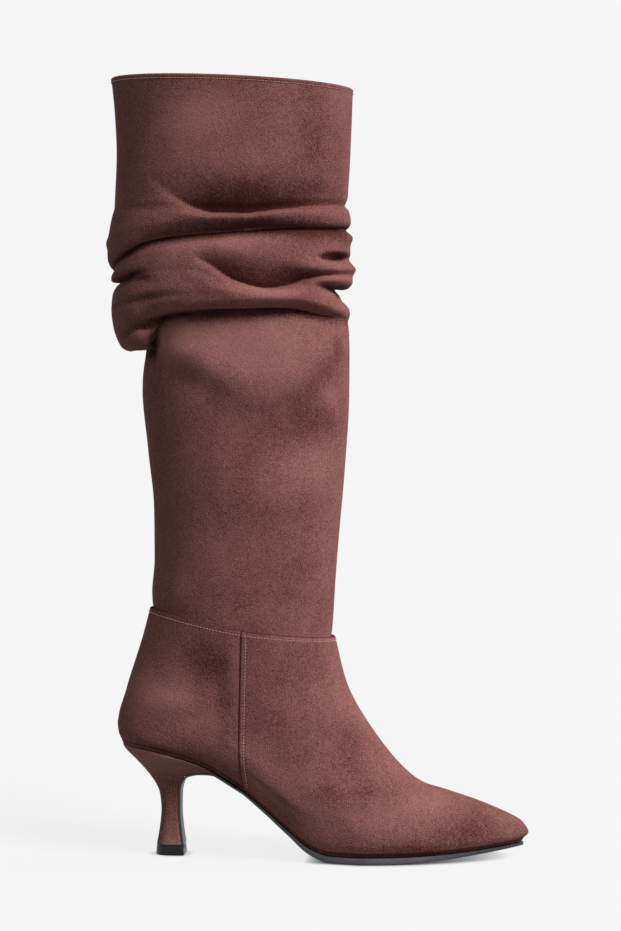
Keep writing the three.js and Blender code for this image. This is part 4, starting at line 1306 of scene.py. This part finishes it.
def sole_stations():
    """Top and bottom edges of the sole: under the foot it follows the bottom line at its own thickness, and
    down the breast it stands square to the heel's slope."""
    column = np.concatenate([
        [TOE_COLUMN - 0.1, TOE_COLUMN - 0.2],
        np.linspace(TOE_COLUMN - END_TRIM, SEAM_COLUMN, 90),
    ])

    def under_foot(turn):
        top = bottom_edge(turn, -SOLE_EDGE)
        top[..., 2] -= BEND_CLEARANCE
        slope = bottom_z(top[..., 0] + 0.5) - bottom_z(top[..., 0] - 0.5)
        long = np.hypot(1, slope)
        thick = read(SOLE_LINE, "at", share_at(top[..., 0]))["thick"]
        low_z = np.maximum(top[..., 2] - thick / long, 0)
        return top, points(top[..., 0] + thick * slope / long, top[..., 1], low_z)

    section = np.concatenate([[11, 10.9, 10.75], np.linspace(10.5, 0, 60)])

    def down_breast(side):
        here = heel_point(section, float(BREAST_COLUMN), side)
        above = heel_point(np.minimum(section + 0.5, SEAT_SECTION), float(BREAST_COLUMN), -1)
        below = heel_point(np.maximum(section - 0.5, 0), float(BREAST_COLUMN), -1)
        run = above - below
        forward = points(run[..., 2], 0, -run[..., 0])
        forward = forward / np.linalg.norm(forward, axis=-1, keepdims=True)
        share = read(HEEL_SECTIONS, "section", section)["front"]
        thick = lerp(BREAST_FLAP, SOLE_LINE["thick"][0], share * share)[:, None]
        top = here + forward * CLEARANCE
        return top, top + forward * thick

    outer = [np.concatenate(pair) for pair in zip(under_foot(column), down_breast(-1))]
    inner = [np.concatenate(pair) for pair in zip(under_foot(WHOLE_TURN - column), down_breast(1))]
    return outer, inner


def sole_rings():
    """The sole's sections: down one edge by the profile, across the bottom and up the other edge."""
    (outer_top, outer_low), (inner_top, inner_low) = sole_stations()
    rings = []
    for down, inside in zip(SOLE_PROFILE["down"], SOLE_PROFILE["inside"]):
        rings.append(lerp(lerp(outer_top, outer_low, down), lerp(inner_top, inner_low, down), inside))
    for down, inside in zip(SOLE_PROFILE["down"][::-1], SOLE_PROFILE["inside"][::-1]):
        rings.append(lerp(lerp(inner_top, inner_low, down), lerp(outer_top, outer_low, down), inside))
    return np.stack(rings, 1)


def sole_rubber():
    """Black sole with a dull sheen and fine buffing marks, paler where a reflection of the pale floor is
    painted on its edge.
    """
    finish = Finish("sole")
    buffed = finish.grain(1.2, finish.place((0.2, 1, 1)), 3.0, 0.6)
    clouds = finish.grain(14, detail=3.0)
    painted_floor_sheen = finish.node("ShaderNodeAttribute", {"attribute_name": "rub"}, {}, 2)
    colour = finish.blend(buffed * 0.3 + clouds * 0.3 + painted_floor_sheen, dye(22, 21, 27), dye(112, 110, 126))
    return finish.done(
        Base_Color=colour,
        Roughness=buffed * 0.06 + clouds * 0.05 + 0.42,
        Specular_IOR_Level=0.5,
        Normal=finish.bump(buffed, 0.08, 0.5),
    )


# A painted reflection of the pale floor on the sole's edge walls, strongest at the ball.
SOLE_FLOOR_SHEEN = columns("x z long tall rub", (132, 0, 44, 20, 0.6), (60, 24, 40, 20, 0.1))
sole_places = sole_rings()
outsole = strip("outsole", sole_places)
on_edge = np.concatenate([SOLE_PROFILE["inside"], SOLE_PROFILE["inside"][::-1]]) < EDGE_INSIDE
paint(outsole, "rub", side_fields(sole_places, SOLE_FLOOR_SHEEN, "rub") * on_edge)
dress(outsole, "sole", ["outsole"], sole_rubber())


# The top piece
# A hard black plastic lift pinned under the heel, D-shaped, its edge a little wider at the floor.
TOP_PIECE_PROFILE = columns(
    "z inset",
    (0, 0.9), (0, 0.45), (0.15, 0.2), (0.5, 0), (3, 0.2), (TOP_PIECE_HEIGHT - 0.4, 0.48),
    (TOP_PIECE_HEIGHT, 0.75), (TOP_PIECE_HEIGHT, 1.4),
)


def top_piece_rings():
    """The heel's D drawn at each height of the profile, smaller by its inset."""
    share = 1 - np.sin(np.pi / 2 * np.linspace(0, 0.995, 30))
    inset = TOP_PIECE_PROFILE["inset"][:, None]
    z = TOP_PIECE_PROFILE["z"][:, None]
    reach = TOP_PIECE_LENGTH / 2 - inset
    half = TOP_PIECE_WIDTH / 2 - inset
    outer = points(lerp(-reach, reach, share), -heel_half(half, share), z)
    inner = points(lerp(-reach, reach, share[::-1]), heel_half(half, share[::-1]), z)
    return np.concatenate([outer, inner], 1)


def hard_plastic():
    """Glossy black plastic with faint moulding swirls."""
    finish = Finish("top_piece")
    swirl = finish.grain(2.2, finish.place((1, 1, 3)), 3.0)
    return finish.done(
        Base_Color=finish.blend(swirl * 0.4 + 0.4, dye(8, 8, 11), dye(26, 25, 31)),
        Roughness=swirl * 0.08 + 0.3,
        Specular_IOR_Level=0.25,
        Normal=finish.bump(swirl, 0.05, 0.5),
    )


dress(strip("top_piece", top_piece_rings()), "top_piece", ["top_piece"], hard_plastic())


# The stitching
# One needle row of twisted thread, a shade paler than the suede, at the collar, under the ankle seam and
# just in front of each side seam. Each stitch dips into the leather at its two ends.
THREAD = 0.3
STITCH_SIDES = 6
STITCH_FILL = 0.78
STITCH_LIFT = 0.55
COLLAR_STITCH = 1.6
ANKLE_STITCH = 2.0
SEAM_STITCH = 1.9
STITCH_RINGS = columns(
    "along round sink",
    (-0.5, 0.4, 0.3), (-0.28, 1, 0.02), (0.28, 1, 0.02), (0.5, 0.4, 0.3),
)


def stitches(line, normal, pitch):
    """Little six-sided rods set end to end along a line of points: each has four rings, thin and sunk at its
    ends. The stitches are spaced evenly by the line's own length."""
    step = np.linalg.norm(np.diff(line, axis=0), axis=1)
    run = np.concatenate([[0], np.cumsum(step)])
    count = int(run[-1] / pitch)
    at = (np.arange(count) + 0.5) * run[-1] / count

    def along_line(values, where):
        return np.stack([np.interp(where, run, values[:, axis]) for axis in range(3)], 1)

    centre = along_line(line, at)
    forward = along_line(line, at + 0.2) - along_line(line, at - 0.2)
    forward /= np.linalg.norm(forward, axis=1, keepdims=True)
    out = along_line(normal, at)
    out /= np.linalg.norm(out, axis=1, keepdims=True)
    aside = np.cross(forward, out)
    angle = np.arange(STITCH_SIDES) * 2 * np.pi / STITCH_SIDES
    ring = STITCH_RINGS["round"][:, None] * THREAD
    shape = (count, len(STITCH_RINGS["along"]), STITCH_SIDES, 3)
    reach = STITCH_RINGS["along"] * pitch * STITCH_FILL
    lengthwise = reach[None, :, None, None] * forward[:, None, None, :]
    sideways = (ring * np.cos(angle))[None, :, :, None] * aside[:, None, None, :]
    lift = ring * np.sin(angle) + THREAD * STITCH_LIFT - STITCH_RINGS["sink"][:, None]
    upwards = lift[None, :, :, None] * out[:, None, None, :]
    return np.broadcast_to(centre[:, None, None, :] + lengthwise + sideways + upwards, shape)


def sew(name, rows):
    """One piece from several rows of stitches, each stitch a closed rod."""
    body = np.concatenate(rows)
    count, rings, sides = body.shape[:3]
    index = np.arange(count * rings * sides).reshape(count, rings, sides)
    beside = np.roll(index, -1, 2)
    walls = np.stack([index[:, :-1], index[:, 1:], beside[:, 1:], beside[:, :-1]], -1).reshape(-1, 4)
    k = np.arange(sides // 2 - 1)
    cap = np.stack([k, k + 1, sides - 2 - k, sides - 1 - k], -1)
    back_ends = index[:, 0][:, cap].reshape(-1, 4)
    front_ends = index[:, -1][:, cap].reshape(-1, 4)[:, ::-1]
    return mesh_of(name, body.reshape(-1, 3), np.concatenate([walls, back_ends, front_ends]))


def thread():
    """Pale brown thread with a fine twist, darker and lighter along its run."""
    finish = Finish("thread")
    twist = finish.grain(0.5)
    shade = finish.grain(5)
    colour = finish.blend(twist * 0.35 + shade * 0.35 + 0.5, dye(138, 92, 83), dye(214, 160, 146))
    twisted = finish.bump(twist, 0.08, 0.6)
    return finish.done(Base_Color=colour, Roughness=0.7, Sheen_Weight=0.2, Normal=twisted)


def level_line(surface, turn, level):
    """A line on a surface and the surface's normals along it."""
    return surface(turn, level), outward(surface, turn, level)


ring_turns = np.linspace(0.01, WHOLE_TURN - 0.01, 700)
collar_level = np.full(ring_turns.shape, 1 - STITCH_IN / LEG_HEIGHT)
collar_line, collar_out = level_line(leg_surface, ring_turns, collar_level)
run_per_level = below_ankle(ring_turns, np.full(ring_turns.shape, 0.98)) / 0.02
ankle_line, ankle_out = level_line(foot_skin, ring_turns, 1 - STITCH_IN / run_per_level)
seam_levels = np.linspace(0.04, 0.97, 120)
seam_lines = []
for middle in (SEAM_COLUMN, WHOLE_TURN - SEAM_COLUMN):
    sign = 1 if middle == SEAM_COLUMN else -1
    near = past_seam(middle + sign * 0.1, seam_levels) / 0.1
    seam_lines.append(level_line(foot_skin, middle + sign * STITCH_IN / near, seam_levels))
sewn = sew("stitching", [
    stitches(collar_line, collar_out, COLLAR_STITCH),
    stitches(ankle_line, ankle_out, ANKLE_STITCH),
    *(stitches(line, out, SEAM_STITCH) for line, out in seam_lines),
])
sewn.data.materials.append(thread())
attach(sewn, "root")


# The floor, the light and the camera
# A pale floor inside a pale surround, a broad soft light from the upper right in front, a weaker one from
# the right and a little behind, and the camera nearly level on the boot's outer side.
FLOOR_REACH = 13000
FLOOR_SHADE = 0.1
FLOOR_GLOW = 0.827
SURROUND_RADIUS = 12000
SURROUND_GLOW = 0.913
# The floor's painted contact shadow: how far it reaches and how far its glow falls there.
CONTACT_REACH = 6
CONTACT_GLOW = 0.1
DOME_ROWS = 12
DOME_SIDES = 48
KEY_FROM = (0.6, -0.44, 0.67)
RIM_FROM = (1, 0.35, 0.3)
CAMERA_AT = (196, -1586, 257)
CAMERA_AIM = (85.5, 0, 237)


def pale(name, shade, glow):
    """Matt pale paint with an even glow of its own, which dims where something stands close over it: a
    painted contact shadow.
    """
    finish = Finish(name)
    colour = (shade, shade, shade, 1)
    open_sky = {"Distance": CONTACT_REACH * MM}
    near = finish.node("ShaderNodeAmbientOcclusion", {"samples": 8}, open_sky, 1)
    return finish.done(
        Base_Color=colour,
        Roughness=1.0,
        Specular_IOR_Level=0.0,
        Emission_Color=finish.blend(near, (CONTACT_GLOW, CONTACT_GLOW, CONTACT_GLOW, 1), (1, 1, 1, 1)),
        Emission_Strength=glow,
    )


def staged(name, places, faces, material):
    """A stage piece: not part of the boot. It throws no light back on the boot, and no shadow."""
    piece = mesh_of(name, places, faces)
    piece.data.materials.append(material)
    piece.visible_diffuse = False
    piece.visible_shadow = False
    return piece


reach = FLOOR_REACH
corners = np.array([[-reach, -reach, 0], [reach, -reach, 0], [reach, reach, 0], [-reach, reach, 0]], float)
staged("floor", corners, np.array([[0, 1, 2, 3]]), pale("floor", FLOOR_SHADE, FLOOR_GLOW))
around_sky = np.linspace(0, 2 * np.pi, DOME_SIDES, endpoint=False)[None, :]
up_sky = np.linspace(-0.12, 0.98, DOME_ROWS)[:, None] * np.pi / 2
level_reach = np.cos(up_sky)
dome = points(level_reach * np.cos(around_sky), level_reach * np.sin(around_sky), np.sin(up_sky))
dome = dome * SURROUND_RADIUS
index = np.arange(DOME_ROWS * DOME_SIDES).reshape(DOME_ROWS, DOME_SIDES)
beside = np.roll(index, -1, 1)
dome_faces = np.stack([index[:-1], index[1:], beside[1:], beside[:-1]], -1).reshape(-1, 4)
staged("surround", dome.reshape(-1, 3), dome_faces, pale("surround", 0.0, SURROUND_GLOW))


def lamp(name, source, strength, spread):
    """A soft light from the direction of `source`, as wide as `spread` degrees of sky."""
    light = bpy.data.lights.new(name, "SUN")
    light.energy = strength
    light.angle = np.radians(spread)
    holder = bpy.data.objects.new(name, light)
    holder.rotation_euler = Vector(source).to_track_quat("Z", "Y").to_euler()
    bpy.context.scene.collection.objects.link(holder)


lamp("key", KEY_FROM, 2.9, 28)
lamp("rim", RIM_FROM, 1.0, 30)
world = bpy.data.worlds.new("studio")
world.use_nodes = True
world.node_tree.nodes["Background"].inputs["Color"].default_value = (1, 1, 1, 1)
world.node_tree.nodes["Background"].inputs["Strength"].default_value = 0.17
bpy.context.scene.world = world
bpy.context.scene.view_settings.view_transform = "Standard"

camera = bpy.data.objects.new("camera", bpy.data.cameras.new("camera"))
bpy.context.scene.collection.objects.link(camera)
bpy.context.scene.camera = camera
camera.data.sensor_fit = "VERTICAL"
camera.data.sensor_height = 36
camera.data.lens = 101.2
camera.data.clip_end = 200
camera.location = Vector(CAMERA_AT) * MM
aim = Vector(CAMERA_AIM) * MM
camera.rotation_euler = (camera.location - aim).to_track_quat("Z", "Y").to_euler()

bpy.context.view_layer.update()
